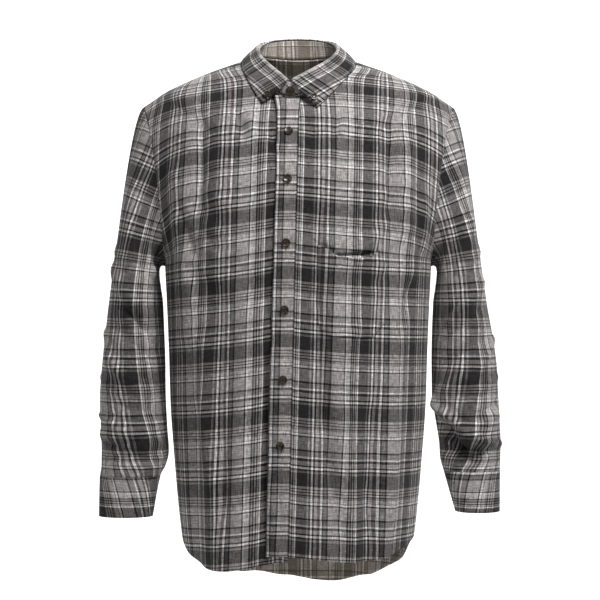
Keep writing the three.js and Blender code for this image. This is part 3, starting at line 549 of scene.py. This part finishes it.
# The pocket is cut so that its stripes meet those of the front it lies on
def clothUnder(q, level):
    frontQ, frontLevels, frontCloth = leftGrid
    cloth = np.zeros(q.shape + (2,))
    columns, rows = np.arange(frontQ.shape[1]), np.arange(len(frontQ))
    for j, i in np.ndindex(q.shape):
        near = int(round(np.interp(q[j, i], frontQ[fronts["plainRow"]], columns)))
        row = np.interp(level[j, i], frontLevels[:, near], rows)
        low = int(row)
        column = np.interp(q[j, i], frontQ[low], columns)
        for k in range(2):
            around = frontCloth[[low, min(low + 1, rows[-1])], :, k]
            below, above = (np.interp(column, columns, line) for line in around)
            cloth[j, i, k] = lerp(below, above, row - low)
    return cloth


def buildPocket():
    t = shares(pocket["columns"])
    slant = np.maximum(np.abs(2 * t - 1) - pocket["slantFrom"], 0) / (1 - pocket["slantFrom"])
    bottom = cut["pocketBottom"] + pocket["corner"] * slant
    s = shares(pocket["rows"])[:, None]
    level = lerp(bottom, cut["pocketTop"] - pocketSag(t), s)
    q = lerp(pocket["from"], pocket["to"], t) * edgeShare(level, 1)
    points, normals = bodyVertex(q, level, 1)
    lift = pocket["open"] * np.sin(pi * t) * smooth((s - pocket["openFrom"]) / (1 - pocket["openFrom"]))
    points = points + normals * (trimMiddle + lift)[..., None]
    cloth = clothUnder(q, level)
    return clothPiece("pocketCloth", "pocket", points, normals, cloth)


back = {
    "columns": 120, "cells": (110, 50), "yokeCells": (16, 34), "shorter": 12.0, "ripple": 2.0,
    "across": 20.0, "down": 70.0, "yokeAcross": 60.0, "yokeDown": 30.0,
}


def yokeSeamLevel(q):
    low, high = np.full(np.shape(q), -330.0), np.full(np.shape(q), -100.0)
    for _ in range(30):
        middle = (low + high) / 2
        below = ringPoint(ringAt(middle), q, -1)[..., 2] < cut["yokeSeam"]
        low, high = np.where(below, middle, low), np.where(below, high, middle)
    return low


def buildBack():
    q = np.linspace(-1, 1, back["columns"])
    hem = tableAt(hemRows, np.abs(q))[:, 3]
    hem = hem + back["shorter"] * smooth((0.1 - q) / 0.16) * smooth((1 + q) / 0.4)
    hem += back["ripple"] * np.sin(q * 21) * smooth((1 - np.abs(q)) / 0.3)
    level = levelRows(hem, (cut["underarm"], yokeSeamLevel(q) - cut["seamGap"] / 2), back["cells"])
    q = q * edgeShare(level, -1)
    points, normals = bodyVertex(q, level, -1)
    across, down = clothGrain(smoothBody(q, level, -1), back["cells"][0], 0)
    cloth = np.dstack([fromMiddle(across) + back["across"], down + back["down"]])
    return clothPiece("backCloth", "back", points, normals, cloth)


def buildYoke():
    q = np.linspace(-1, 1, back["columns"])
    level = levelRows(yokeSeamLevel(q) + cut["seamGap"] / 2, stops[-2:], back["yokeCells"])
    points, normals = bodyVertex(q * edgeShare(level, -1), level, -1)
    across, down = clothGrain(points, 0, 0, 0 * q)
    cloth = np.dstack([fromMiddle(across) + back["yokeAcross"], down + back["yokeDown"]])
    return clothPiece("yokeCloth", "yoke", points, normals, cloth)


print("body maths done")
leftGrid, frontLeft, *leftShape = buildLeftFront()
frontRight, *rightShape = buildRightFront()
placketPiece, *placketShape = buildPlacket()
pocketPiece, *pocketShape = buildPocket()
backPiece, *backShape = buildBack()
yokePiece, *yokeShape = buildYoke()
print("body panels done")

# ---- sleeves: z, outer x, inner x, middle y, half depth
sleeves = {
    "columns": 112, "capRows": 62, "tubeRows": 76,
    "right": [
        [-720, 314, 231, -36, 37], [-656, 313, 219, -31, 44], [-640, 311, 211, -28, 50],
        [-618, 311, 206, -24, 56], [-580, 313, 209, -17, 61], [-530, 315, 212, -9, 67],
        [-480, 312, 213, -3, 74], [-430, 307, 215, 1, 80], [-385, 302, 217, 3, 85], [-340, 296, 219, 4, 88],
    ],
    "left": [
        [-711, 317, 249, -44, 43], [-647, 318, 231, -38, 44], [-630, 319, 226, -35, 50],
        [-600, 320, 224, -29, 56], [-560, 319, 218, -20, 62], [-530, 318, 214, -12, 67],
        [-480, 316, 214, -5, 74], [-430, 309, 215, 0, 80], [-385, 301, 217, 3, 85], [-340, 296, 219, 4, 88],
    ],
    # angle and z at both ends, width, height; 0 is the outer side and 90 the front
    "rightFolds": [
        [60, -190, 110, -330, 14, -7], [95, -200, 135, -330, 14, 6], [30, -330, 120, -400, 13, 6],
        [60, -420, 130, -470, 12, -6], [40, -470, 120, -520, 13, 6], [70, -540, 140, -560, 11, -5],
        [30, -590, 110, -585, 12, 6], [50, -625, 140, -618, 8, -5], [230, -420, 300, -480, 15, 6],
        [220, -520, 310, -560, 13, -6], [240, -600, 320, -590, 12, 6],
        [20, -300, 100, -330, 7, 2.5], [50, -370, 130, -430, 6, -2.5], [20, -500, 90, -540, 6, 2.5],
        [60, -610, 150, -600, 5, 2.5], [20, -640, 120, -636, 4, 1.6],
        [70, -190, 132, -320, 6, -4.5], [100, -250, 140, -340, 6, 4.0], [90, -400, 150, -460, 7, -4.5],
        [20, -430, 80, -500, 7, 4.0], [110, -500, 60, -560, 7, -4.5], [20, -560, 120, -596, 6, 4.0],
        [40, -600, 150, -638, 5, -4.0], [130, -560, 150, -630, 7, 4.0],
    ],
    "leftFolds": [
        [60, -200, 120, -330, 14, -7], [95, -190, 140, -320, 14, 6], [40, -350, 120, -410, 13, 6],
        [60, -440, 130, -480, 12, -6], [100, -500, 165, -548, 14, 9], [40, -560, 100, -590, 14, 8],
        [60, -612, 160, -612, 9, -8], [110, -570, 160, -585, 12, -9], [230, -420, 300, -480, 15, 6],
        [220, -520, 310, -560, 13, -6], [240, -600, 320, -590, 12, 6],
        [20, -300, 100, -330, 7, 2.5], [50, -390, 130, -440, 6, -2.5], [20, -500, 80, -520, 6, 2.5],
        [20, -630, 120, -626, 4, 1.6],
        [168, -534, 70, -604, 8, 12.0], [170, -566, 96, -622, 9, -16.0], [80, -596, 20, -604, 6, 4.0],
        [70, -190, 128, -320, 6, -4.5], [40, -250, 90, -340, 7, 3.6], [100, -380, 150, -430, 7, -4.5],
        [20, -440, 90, -500, 7, 4.0], [30, -540, 80, -560, 6, -4.0], [60, -622, 130, -634, 4, 3.0],
    ],
    "across": 12.0, "down": 30.0, "hemLevel": -720, "oval": 0.5,
    "lean": 24, "pivot": (222, 5, -200), "capRadius": 66, "axisStretch": 0.02,
    "startHandle": (22, 14), "endHandle": (78, 52), "creaseTurn": 60, "creaseFrom": -200,
    "foldSteps": (9, 17),    # over the cap and down the tube; the folds fade within a few steps of both ends
}
cuffs = {
    "columns": 90, "rows": 16, "leftTop": -647, "rightTop": -656, "angle": 228, "radius": 42,
    "lapFrom": 330, "lapSpan": 26, "buttonAt": 0.45, "down": -610,
}


def sleeveRingPoint(name, side, angle, z):
    section = tableAt(sleeves[name], z)
    outer, inner, centreY, halfDepth = (section[..., k] for k in (1, 2, 3, 4))
    turn = np.radians(angle)
    return stack(side * ((outer + inner) / 2 + (outer - inner) / 2 * np.cos(turn)),
                 centreY - halfDepth * np.sin(turn), z)


def armhole(side):
    top = sleeves["columns"] // 2
    frontLevels = np.linspace(cut["underarm"], cut["shoulder"], top + 1)
    backLevels = np.linspace(cut["shoulder"], cut["underarm"], top + 1)[1:-1]
    halves = [bodyVertex(side + 0 * levels, levels, facing)
              for levels, facing in ((frontLevels, 1), (backLevels, -1))]
    points, normals = (np.vstack(pair) for pair in zip(*halves))
    done = np.concatenate([[0], np.cumsum(np.linalg.norm(np.roll(points, -1, 0) - points, axis=1))])
    frontLength, backLength = done[top], done[-1] - done[top]
    angle = np.where(np.arange(len(points)) <= top, 180 - 180 * done[:-1] / frontLength,
                     -180 * (done[:-1] - done[top]) / backLength)
    across = unit(np.cross(np.roll(points, -1, 0) - np.roll(points, 1, 0), normals))
    across *= np.sign(((points.mean(0) - points) * across).sum(-1))[:, None]
    raised = (points[:, 2] - sleeves["creaseFrom"]) / (points[0, 2] - sleeves["creaseFrom"])
    return points, normals, across, angle % 360, np.radians(sleeves["creaseTurn"] * smooth(raised))


def tubeNormals(points, side):
    wrapped = np.concatenate([points[:, -2:-1], points, points[:, 1:2]], axis=1)
    across = wrapped[:, 2:] - wrapped[:, :-2]
    return unit(np.cross(across, -np.gradient(points, axis=0))) * side


# Round the sleeve and down its axis, which bends toward the neck above the biceps
def sleeveGrain(name, side, points, outer):
    pivotX, pivotY, pivotZ = sleeves["pivot"]
    x, y, z = side * points[..., 0], points[..., 1], points[..., 2]
    section = tableAt(sleeves[name], np.clip(z, sleeves["hemLevel"], cut["capEnd"]))
    bend = np.clip((z - cut["capEnd"]) / (pivotZ - cut["capEnd"]), 0, 1)
    lean = radians(sleeves["lean"]) * bend
    middle = (section[..., 1] + section[..., 2]) / 2
    middle = middle - (middle - pivotX) * bend ** 2
    half = lerp((section[..., 1] - section[..., 2]) / 2, sleeves["capRadius"], bend)
    depth = lerp(section[..., 4], sleeves["capRadius"], bend)
    above = z > pivotZ
    beyond = (x - middle) * np.cos(lean) + np.where(above, (z - pivotZ) * np.sin(lean), 0)
    turn, oval = np.linspace(-2 * pi, 2 * pi, 1441), sleeves["oval"]
    arc = np.cumsum(np.hypot(oval * np.sin(turn), np.cos(turn))) * (turn[1] - turn[0])
    angle = np.unwrap(np.arctan2((lerp(section[..., 3], pivotY, bend) - y) / depth, beyond / half), axis=1)
    angle -= 2 * pi * np.round(angle[:, outer] / (2 * pi))[:, None]
    flatTube = np.interp(angle, turn, arc - arc[len(arc) // 2]) * np.hypot(half, depth) / np.hypot(oval, 1)
    around = lerp(flatTube, sleeves["capRadius"] * angle, bend)
    shortened = (1 + sleeves["axisStretch"]) * (np.minimum(z, pivotZ) - cut["capEnd"]) * (bend > 0)
    below = -np.minimum(z, cut["capEnd"]) - shortened + (x - middle) * np.sin(lean)
    down = below - np.where(above, (z - pivotZ) * np.cos(lean), 0)
    return side * around, down


def buildSleeve(name, side):
    ring, ringNormals, across, angle, crease = armhole(side)
    sin, cos = np.sin(crease)[:, None], np.cos(crease)[:, None]
    leave = across * cos + ringNormals * sin
    start = ring + across * (cut["seamGap"] + cut["wall"] / 2 * sin)
    end = sleeveRingPoint(name, side, angle, cut["capEnd"] + 0 * angle)
    upward = unit(sleeveRingPoint(name, side, angle, cut["capEnd"] + 1 + 0 * angle) - end)
    (least, more), (middle, swing) = sleeves["startHandle"], sleeves["endHandle"]
    startHandle = start + leave * (least + more * np.abs(np.sin(np.radians(angle))))[:, None]
    endHandle = end + upward * (middle + swing * np.cos(np.radians(angle)))[:, None]
    t = shares(sleeves["capRows"])[:, None, None]
    cap = bezier(start, startHandle, endHandle, end, t)
    endHeight = cuffs[name + "Top"] + cut["seamGap"] + 0.2
    z = np.linspace(cut["capEnd"], endHeight, sleeves["tubeRows"])[1:, None]
    tube = sleeveRingPoint(name, side, angle[None, :] + 0 * z, z + 0 * angle[None, :])
    points = np.vstack([cap, tube])
    points = np.concatenate([points, points[:, :1]], axis=1)
    angles = np.concatenate([angle, angle[:1]])[None, :]
    capSteps, tubeSteps = sleeves["foldSteps"]
    tubeStep = capSteps + tubeSteps * (z[:, 0] - cut["capEnd"]) / (endHeight - cut["capEnd"])
    step = np.concatenate([capSteps * t[:, 0, 0], tubeStep])[:, None]
    fade = smooth((step - 1) / 5) * smooth((capSteps + tubeSteps - step) / 2)
    bodySide = 1 - smooth(1 - np.abs(angles - 180) / 45)
    height = foldHeight(sleeves[name + "Folds"], angles, points[..., 2], 1) * fade * bodySide
    points = points + tubeNormals(points, side) * height[..., None]
    points, normals = points[::-1], tubeNormals(points, side)[::-1]
    around, down = sleeveGrain(name, side, points, int(np.argmin(np.abs(angles[0, 1:-1]))) + 1)
    cloth = np.dstack([around + sleeves["across"], down + sleeves["down"]])
    node = f"sleeve_{name}"
    return *clothPiece(node + "_cloth", node, points, normals, cloth, closed=True), angles[0]


def cuffVertex(name, side, angle, z, lap):
    place = lambda a, b: sleeveRingPoint(name, side, a, b)
    normal = normalOf(place, angle, z, -side)
    return place(angle, z) + normal * np.asarray(lap)[..., None], normal


def buildCuff(name, side):
    top, lapSpan = cuffs[name + "Top"], cuffs["lapSpan"]
    overlap = np.degrees(cut["cuffOverlap"] / cuffs["radius"])
    turned = np.linspace(0, 360 + overlap, cuffs["columns"])[None, :]
    z = np.linspace(top - cut["cuffDepth"], top, cuffs["rows"])[:, None]
    angle, z = np.broadcast_arrays(cuffs["angle"] + turned, z)
    outward = smooth((turned - cuffs["lapFrom"]) / lapSpan) - 1 + smooth((turned - overlap) / lapSpan)
    points, normals = cuffVertex(name, side, angle, z, lapStep * outward + 0 * z)
    around = alongRows(points)
    cloth = np.dstack([cuffs["down"] - z + 0 * around, around])
    node = f"cuff_{name}"
    centre, onTop = angle[0, 0] + overlap * cuffs["buttonAt"], lapStep + cut["stiffWall"] / 2 + cut["lapGap"]
    seat = cuffVertex(name, side, np.array(centre), np.array(top - cut["cuffDepth"] / 2), onTop)
    return *clothPiece(node + "_cloth", node, points, normals, cloth, cut["stiffWall"]), seat


sleevePlacket = {"angle": 235, "rows": (1, 34), "columns": 6, "across": 8}


def buildSleevePlacket(name, sleevePoints, sleeveNormals, angles):
    first = int(np.argmin(np.abs(angles - sleevePlacket["angle"]))) - sleevePlacket["columns"] // 2
    strip = np.s_[slice(*sleevePlacket["rows"]), first:first + sleevePlacket["columns"]]
    points, normals = sleevePoints[strip] + sleeveNormals[strip] * trimMiddle, sleeveNormals[strip]
    across, down = clothGrain(points, 0, 0, 0 * points[0, :, 2])
    cloth = np.dstack([across + sleevePlacket["across"], down])
    node = f"sleeve_placket_{name}"
    return clothPiece(node + "_cloth", node, points, normals, cloth)[0]


sides = {"left": 1, "right": -1}
sleevePieces, cuffPieces, cuffSeats, sleevePlackets, cuffShapes = {}, {}, {}, {}, {}
for name, side in sides.items():
    sleevePieces[name], *sleeveShape = buildSleeve(name, side)
    cuffPieces[name], *cuffShapes[name], cuffSeats[name] = buildCuff(name, side)
    sleevePlackets[name] = buildSleevePlacket(name, *sleeveShape)
print("sleeves and cuffs done")

# ---- collar: turned runs from -1 at the right front, through 0 at the centre back, to 1 at the left front
collar = {
    "neckCells": 150, "standRows": 14, "rollRows": 9, "leafRows": 22,
    "roll": 2.6, "rollLift": 0.9, "edgeLevel": -66, "clearance": 3,
    "left": (0.24, -88), "right": (0.3, -86), "tipSweep": 2.3, "standLift": 1.4, "endTaper": 0.45,
    "lapFrom": 0.68, "lapSpan": 0.12, "buttonAt": 0.42, "standWidth": 32, "standAcross": 46, "standDown": 6,
    "fallAcross": 68, "fallDown": 50,
}


def neckRingPoint(ring, turned):
    side = np.where(turned < 0, -1.0, 1.0)
    share = np.abs(turned)
    behind = ringPoint(np.broadcast_to(ring, np.shape(turned) + (13,)), side * 2 * share, -1)
    ahead = ringPoint(np.broadcast_to(ring, np.shape(turned) + (13,)), side * (2 - 2 * share), 1)
    return np.where((share <= 0.5)[..., None], behind, ahead)


neckRing = ringAt(np.array(cut["neck"], float))


def pastCentre(distance):
    return float(abs(shareOf(np.array(float(distance)), np.array(float(cut["neck"]))))) / 2


def standVertex(turned, share):
    turned, share = np.broadcast_arrays(np.asarray(turned, float), np.asarray(share, float))

    def place(a, b):
        low = neckRingPoint(neckRing, a) + np.array([0, 0, collar["standLift"]])
        past = np.sign(a) * np.maximum(np.abs(a) - 1, 0)
        return lerp(low, neckRingPoint(standTop, a - collar["endTaper"] * past), b[..., None])

    step = 1e-3
    across = place(turned + step, share) - place(turned - step, share)
    along = place(turned, share + step) - place(turned, share - step)
    normal = unit(np.cross(along, across))
    over, under = (smooth((end - collar["lapFrom"]) / collar["lapSpan"]) for end in (turned, -turned))
    return place(turned, share) + normal * (lapStep * (over - under))[..., None], normal, unit(along)


def buildStand():
    start, end = -1 - pastCentre(cut["underlapPastCentre"]), 1 + pastCentre(cut["placketOverCentre"])
    turned = np.linspace(start, end, collar["neckCells"])[None, :]
    share = shares(collar["standRows"])[:, None]
    points, normals, _ = standVertex(turned, share)
    around = fromMiddle(alongRows(points))
    across = share * collar["standWidth"] + 0 * around + collar["standAcross"]
    cloth = np.dstack([across, around + collar["standDown"]])
    seat, facing, _ = standVertex(1.0, collar["buttonAt"])
    seat = seat + facing * (cut["stiffWall"] / 2 + cut["lapGap"]), facing
    return *clothPiece("collarStand", "collar_stand", points, normals, cloth, cut["stiffWall"]), seat


def fallEdge(turned):
    side = np.where(turned < 0, -1.0, 1.0)
    share = np.abs(turned)
    tipShare = np.where(side > 0, collar["left"][0], collar["right"][0])
    tipLevel = np.where(side > 0, collar["left"][1], collar["right"][1])
    toTip = np.clip(2 * share - 1, 0, 1)
    backPoint, backNormal = bodyVertex(side * np.minimum(2 * share, 1), collar["edgeLevel"] + 0 * share, -1)
    frontPoint, frontNormal = bodyVertex(side * lerp(1, tipShare, toTip),
                                         lerp(collar["edgeLevel"], tipLevel, toTip ** collar["tipSweep"]), 1)
    behind = (share <= 0.5)[..., None]
    normal = np.where(behind, backNormal, frontNormal)
    return np.where(behind, backPoint, frontPoint) + normal * collar["clearance"], normal


def buildFall():
    turned = np.linspace(-1, 1, collar["neckCells"] + 1)
    towardFront = smooth((np.abs(turned) - 0.8) / 0.2)
    point, normal, upward = standVertex(turned * (1 - 0.01 * towardFront), 1.0)
    overLap = np.where(turned < 0, 2 * lapStep * towardFront, 0)
    centre = point + normal * (collar["roll"] + overLap)[:, None] + upward * collar["rollLift"]
    bend = pi * np.linspace(1, 0, collar["rollRows"])[:, None, None]
    rolled = centre + collar["roll"] * (normal * np.cos(bend) + upward * np.sin(bend))
    last = rolled[-1]
    edge, edgeNormal = fallEdge(turned)
    length = np.linalg.norm(last - edge, axis=-1)[:, None]
    endHandle = lerp(edge, last, 0.35) + edgeNormal * 1.5
    t = shares(collar["leafRows"])[1:, None, None]
    leaf = bezier(last, last - upward * lerp(0.3, 0.14, towardFront)[:, None] * length, endHandle, edge, t)
    points = np.vstack([rolled, leaf])
    normals = unit(np.cross(np.gradient(points, axis=1), np.gradient(points, axis=0)))
    normals *= np.sign((normals[-1] * edgeNormal).sum(-1).mean())
    across = alongRows(points.swapaxes(0, 1)).T + collar["fallAcross"]
    cloth = np.dstack([across, fromMiddle(alongRows(points)) + collar["fallDown"]])
    return clothPiece("collarFall", "collar_fall", points, normals, cloth, cut["stiffWall"])


standPiece, *standShape, standSeat = buildStand()
fallPiece, *fallShape = buildFall()
print("collar done")

# ---- sewing
sewing = {
    "pitch": 3.0, "stitch": 2.3, "width": 0.5, "rise": 0.32,
    "bars": 24, "buttonhole": 17.0, "collarHole": 12.0,
}


# A line on a piece's grid of points and normals, along a column or a row, which may fall between two
def rail(shape, thick, column=None, row=None, fromShare=0.0, toShare=1.0):
    points, normals = shape if row is None else (grid.transpose(1, 0, 2) for grid in shape)
    at = column if row is None else row
    low = min(int(at), points.shape[1] - 2)
    line = lerp(points[:, low], points[:, low + 1], at - low)
    away = unit(lerp(normals[:, low], normals[:, low + 1], at - low))
    first, last = int(fromShare * (len(line) - 1)), int(toShare * (len(line) - 1)) + 1
    return (line + away * thick / 2)[first:last], away[first:last]


def stitches(name, *rails):
    bm = bmesh.new()
    halfStitch = sewing["stitch"] / 2
    thickness = Matrix.Diagonal((halfStitch * mm, sewing["width"] / 2 * mm, sewing["rise"] / 2 * mm, 1))
    for line, away in rails:
        steps = np.linalg.norm(np.diff(line, axis=0), axis=1)
        done = np.concatenate([[0], np.cumsum(steps)])
        for at in np.arange(sewing["pitch"] / 2, done[-1], sewing["pitch"]):
            start, end = (np.array([np.interp(at + half, done, line[:, k]) for k in range(3)])
                          for half in (-halfStitch, halfStitch))
            up = Vector([np.interp(at, done, away[:, k]) for k in range(3)]).normalized()
            along = Vector(end - start).normalized()
            turn = Matrix((along, up.cross(along).normalized(), up)).transposed().to_4x4()
            middle = Vector((start + end) / 2 + np.array(up) * sewing["rise"] / 4)
            place = Matrix.Translation(middle * mm) @ turn @ thickness
            bmesh.ops.create_icosphere(bm, subdivisions=1, radius=1.0, matrix=place)
    addPiece(name, bm, sewingThread)


def addBar(bm, place, at, size):
    shift = Matrix.Translation([value * mm for value in at])
    bmesh.ops.create_cube(bm, size=mm, matrix=place @ (shift @ Matrix.Diagonal((*size, 1))))


# Close bars of thread on both sides of a slit; angle turns it in the cloth, from upright
def buttonhole(name, seat, facing, angle, length, shift=0.0):
    place = seatMatrix(seat - facing * cut["lapGap"], facing)
    place = place @ Matrix.Rotation(angle, 4, "Z") @ Matrix.Translation((0, shift * mm, 0))
    bm = bmesh.new()
    for at in np.linspace(-length / 2, length / 2, sewing["bars"]):
        for side in (-1, 1):
            addBar(bm, place, (side * 0.85, at, 0.2), (1.2, 0.5, 0.45))
    for end in (-1, 1):
        addBar(bm, place, (0, end * (length / 2 + 0.5), 0.2), (2.9, 0.7, 0.5))
    bmesh.ops.bevel(bm, geom=bm.edges, offset=0.1 * mm, segments=1, affect="EDGES")
    addPiece(name, bm, buttonholeThread)
    # A thin dark sheet laid in the slit, coloured as painted shade
    slit = bmesh.new()
    addBar(slit, place, (0, 0, 0.08), (0.6, length, 0.2))
    addPiece(name + "Slit", slit, slitShade)


# ---- buttons: four holes, a raised rim and thread across the holes
buttons = {
    "placket": {"radius": 6.8, "levels": (-119, -193, -291, -393, -500, -601)},
    "collarRadius": 5.2, "cuffRadius": 6.0, "height": 2.8, "hole": 0.85, "holeReach": 0.27,
}


def buttonBody(radius):
    height = buttons["height"]
    profile = [(0.0, 0.0), (0.86, 0.0), (1.0, 0.4), (0.98, 0.82),
               (0.92, 1.0), (0.74, 1.0), (0.6, 0.7), (0.0, 0.66)]
    bm = bmesh.new()
    verts, edges = addLine(bm, [(x * radius * mm, 0, z * height * mm) for x, z in profile])
    bmesh.ops.spin(bm, geom=verts + edges, cent=(0, 0, 0), axis=(0, 0, 1), angle=2 * pi,
                   steps=36, use_merge=True)
    bmesh.ops.remove_doubles(bm, verts=bm.verts, dist=1e-6)
    bmesh.ops.recalc_face_normals(bm, faces=bm.faces)
    return bm


def buttonHoles(radius):
    bm = bmesh.new()
    reach, hole = buttons["holeReach"] * radius * mm, buttons["hole"] * mm
    for x, y in ((1, 1), (1, -1), (-1, 1), (-1, -1)):
        bmesh.ops.create_cone(bm, cap_ends=True, segments=12, radius1=hole, radius2=hole, depth=8 * mm,
                              matrix=Matrix.Translation((x * reach, y * reach, 0)))
    return bm


def seatMatrix(seat, facing, spin=0.0):
    turn = Vector((0, 0, 1)).rotation_difference(Vector(facing)).to_matrix().to_4x4()
    return Matrix.Translation(Vector(seat) * mm) @ turn @ Matrix.Rotation(spin, 4, "Z")


def addButton(name, node, seat, facing, radius, spin=0.4):
    place = seatMatrix(seat, facing, spin)
    piece = addPiece(name, buttonBody(radius), tortoiseshell, slot="buttons")
    cutter = addMesh("cutter", buttonHoles(radius))
    boolean = piece.modifiers.new("holes", "BOOLEAN")
    boolean.object, boolean.operation, boolean.solver = cutter, "DIFFERENCE", "EXACT"
    bpy.context.view_layer.update()
    drilled = bpy.data.meshes.new_from_object(piece.evaluated_get(bpy.context.evaluated_depsgraph_get()))
    piece.modifiers.clear()
    piece.data = drilled
    bpy.data.objects.remove(cutter)
    drilled.transform(place)
    drilled.shade_smooth()
    drilled.set_sharp_from_angle(angle=radians(50))
    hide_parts(node)
    reach = buttons["holeReach"] * radius * mm
    bm = bmesh.new()
    for x in (-reach, reach):
        for lift in (-0.18, 0.18):
            bmesh.ops.create_uvsphere(bm, u_segments=8, v_segments=7, radius=1.0, matrix=(
                Matrix.Translation((x + lift * mm, 0, 0.72 * buttons["height"] * mm))
                @ Matrix.Diagonal((0.22 * mm, 1.25 * reach, 0.32 * mm, 1))))
    bmesh.ops.transform(bm, matrix=place, verts=bm.verts)
    addPiece(name + "Thread", bm, sewingThread, slot="buttons")


def seatOnPlacket(level):
    point, normal = bodyVertex(np.array(0.0), np.array(float(level)), 1)
    return point + normal * (trimMiddle + cut["wall"] / 2 + cut["lapGap"]), normal


placketRadius = buttons["placket"]["radius"]
addButton("button_1", "button_front_1", *standSeat, placketRadius)
placketSeats = [seatOnPlacket(level) for level in buttons["placket"]["levels"]]
for i, seat in enumerate(placketSeats):
    addButton(f"button_{i + 2}", f"button_front_{i + 2}", *seat, placketRadius, 0.4 + 0.7 * i)
fallPoints, fallNormals = fallShape
collarSeats = {}
for name in sides:
    addButton(f"button_cuff_{name}_shown", f"button_cuff_{name}", *cuffSeats[name], buttons["cuffRadius"])
    low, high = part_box(f"button_collar_{name}")
    middle = (Vector(low) + Vector(high)) / 2 / mm
    away = np.linalg.norm(fallPoints - np.array(middle), axis=-1)
    nearest = np.unravel_index(np.argmin(away), away.shape)
    facing = fallNormals[nearest]
    collarSeats[name] = fallPoints[nearest] + facing * (cut["stiffWall"] / 2 + cut["lapGap"]), facing
    node = f"button_collar_{name}"
    addButton(node + "_shown", node, *collarSeats[name], buttons["collarRadius"])
print("buttons done")

for i, seat in enumerate(placketSeats):
    buttonhole(f"buttonhole_{i + 2}", *seat, 0.0, sewing["buttonhole"], -2.5)
for name, side in sides.items():
    buttonhole(f"buttonhole_cuff_{name}", *cuffSeats[name], pi / 2, sewing["buttonhole"], 2.5)
    buttonhole(f"buttonhole_collar_{name}", *collarSeats[name], side * radians(40), sewing["collarHole"], 1.5)

wall, stiff = cut["wall"], cut["stiffWall"]
stitchIn = placket["stitchIn"] / cut["placketWidth"] * (placket["columns"] - 1)
stitches("placketStitches", *(rail(placketShape, wall, column=at)
                              for at in (stitchIn, placket["columns"] - 1 - stitchIn)))
stitches("pocketStitches",
         rail(pocketShape, wall, column=0.5), rail(pocketShape, wall, column=pocket["columns"] - 1.5),
         rail(pocketShape, wall, row=0.5), rail(pocketShape, wall, row=pocket["rows"] - 5.5))
frontShapes = (leftShape, rightShape)
stitches("hemStitches", *(rail(shape, wall, row=1.6, fromShare=0.12) for shape in frontShapes),
         rail(backShape, wall, row=1.6))
stitches("armholeStitches", *(rail(shape, wall, column=fronts["columns"] - 2.4, fromShare=0.52, toShare=0.81)
                              for shape in frontShapes))
stitches("yokeStitches", rail(yokeShape, wall, row=1.4),
         *(rail(yokeShape, wall, column=at, fromShare=0.4) for at in (1.2, back["columns"] - 2.2)))
for name, shape in cuffShapes.items():
    stitches(f"cuffStitches_{name}", rail(shape, stiff, row=1.4), rail(shape, stiff, row=cuffs["rows"] - 2.4),
             rail(shape, stiff, column=cuffs["columns"] - 2.2))
leafShape = [grid[collar["rollRows"]:] for grid in fallShape]
stitches("collarStitches",
         rail(fallShape, stiff, row=collar["rollRows"] + collar["leafRows"] - 3.9),
         *(rail(leafShape, stiff, column=at) for at in (2.0, collar["neckCells"] - 2.0)),
         rail(standShape, stiff, row=1.4))
print("sewing done")

# ---- floor, light and camera, which aren't part of the shirt
studio = {
    "floor": -1.6, "near": -4.5, "backdrop": 4.4, "bend": 1.0, "width": 12.0, "height": 5.0,
    "camera": (0.003, -3.2, -0.378), "lens": 120, "backdropColour": "#f6f6f6", "world": 0.10,
}


def buildStudio():
    bm = bmesh.new()
    low, far, radius = studio["floor"], studio["backdrop"], studio["bend"]
    profile = [(studio["near"], low), (0.0, low), (far - radius, low)]
    profile += [(far - radius + radius * np.sin(a), low + radius - radius * np.cos(a))
                for a in np.linspace(0.15, pi / 2, 10)]
    profile += [(far, low + studio["height"])]
    _, edges = addLine(bm, [(-studio["width"] / 2, *at) for at in profile])
    swept = bmesh.ops.extrude_edge_only(bm, edges=edges)
    moved = [item for item in swept["geom"] if isinstance(item, bmesh.types.BMVert)]
    bmesh.ops.translate(bm, verts=moved, vec=(studio["width"], 0, 0))
    bmesh.ops.recalc_face_normals(bm, faces=bm.faces)
    # Matt white paper from a roll, as photographers hang it
    material = bpy.data.materials.new("paleSeamlessPaper")
    material.use_nodes = True
    shader = material.node_tree.nodes["Principled BSDF"]
    shader.inputs["Base Color"].default_value = linear(studio["backdropColour"])
    shader.inputs["Roughness"].default_value = 0.9
    addMesh("studioSweep", bm, material)


def addLight(name, place, target, size, watts):
    light = bpy.data.lights.new(name, "AREA")
    light.shape, light.size, light.energy = "SQUARE", size, watts
    lamp = addObject(name, light)
    lamp.location = place
    lamp.rotation_euler = (Vector(target) - Vector(place)).to_track_quat("-Z", "Y").to_euler()


buildStudio()
addLight("keySoftbox", (0.85, -1.35, 1.5), (0, 0, -0.25), 0.65, 52)
addLight("fillSoftbox", (-1.6, -2.2, 1.3), (0, 0, -0.3), 1.5, 9)
addLight("backdropLamp", (0, 2.4, 2.6), (0, 4.4, -0.3), 3.0, 260)
world = bpy.data.worlds.new("studioAir")
scene.world = world
world.use_nodes = True
background = world.node_tree.nodes["Background"]
background.inputs["Color"].default_value = (1, 1, 1, 1)
background.inputs["Strength"].default_value = studio["world"]
scene.view_settings.view_transform = "Standard"
camera = addObject("camera", bpy.data.cameras.new("camera"))
camera.data.lens = studio["lens"]
camera.data.sensor_width = 36
camera.location = studio["camera"]
camera.rotation_euler = (pi / 2, 0, 0)
scene.camera = camera
print("studio done")
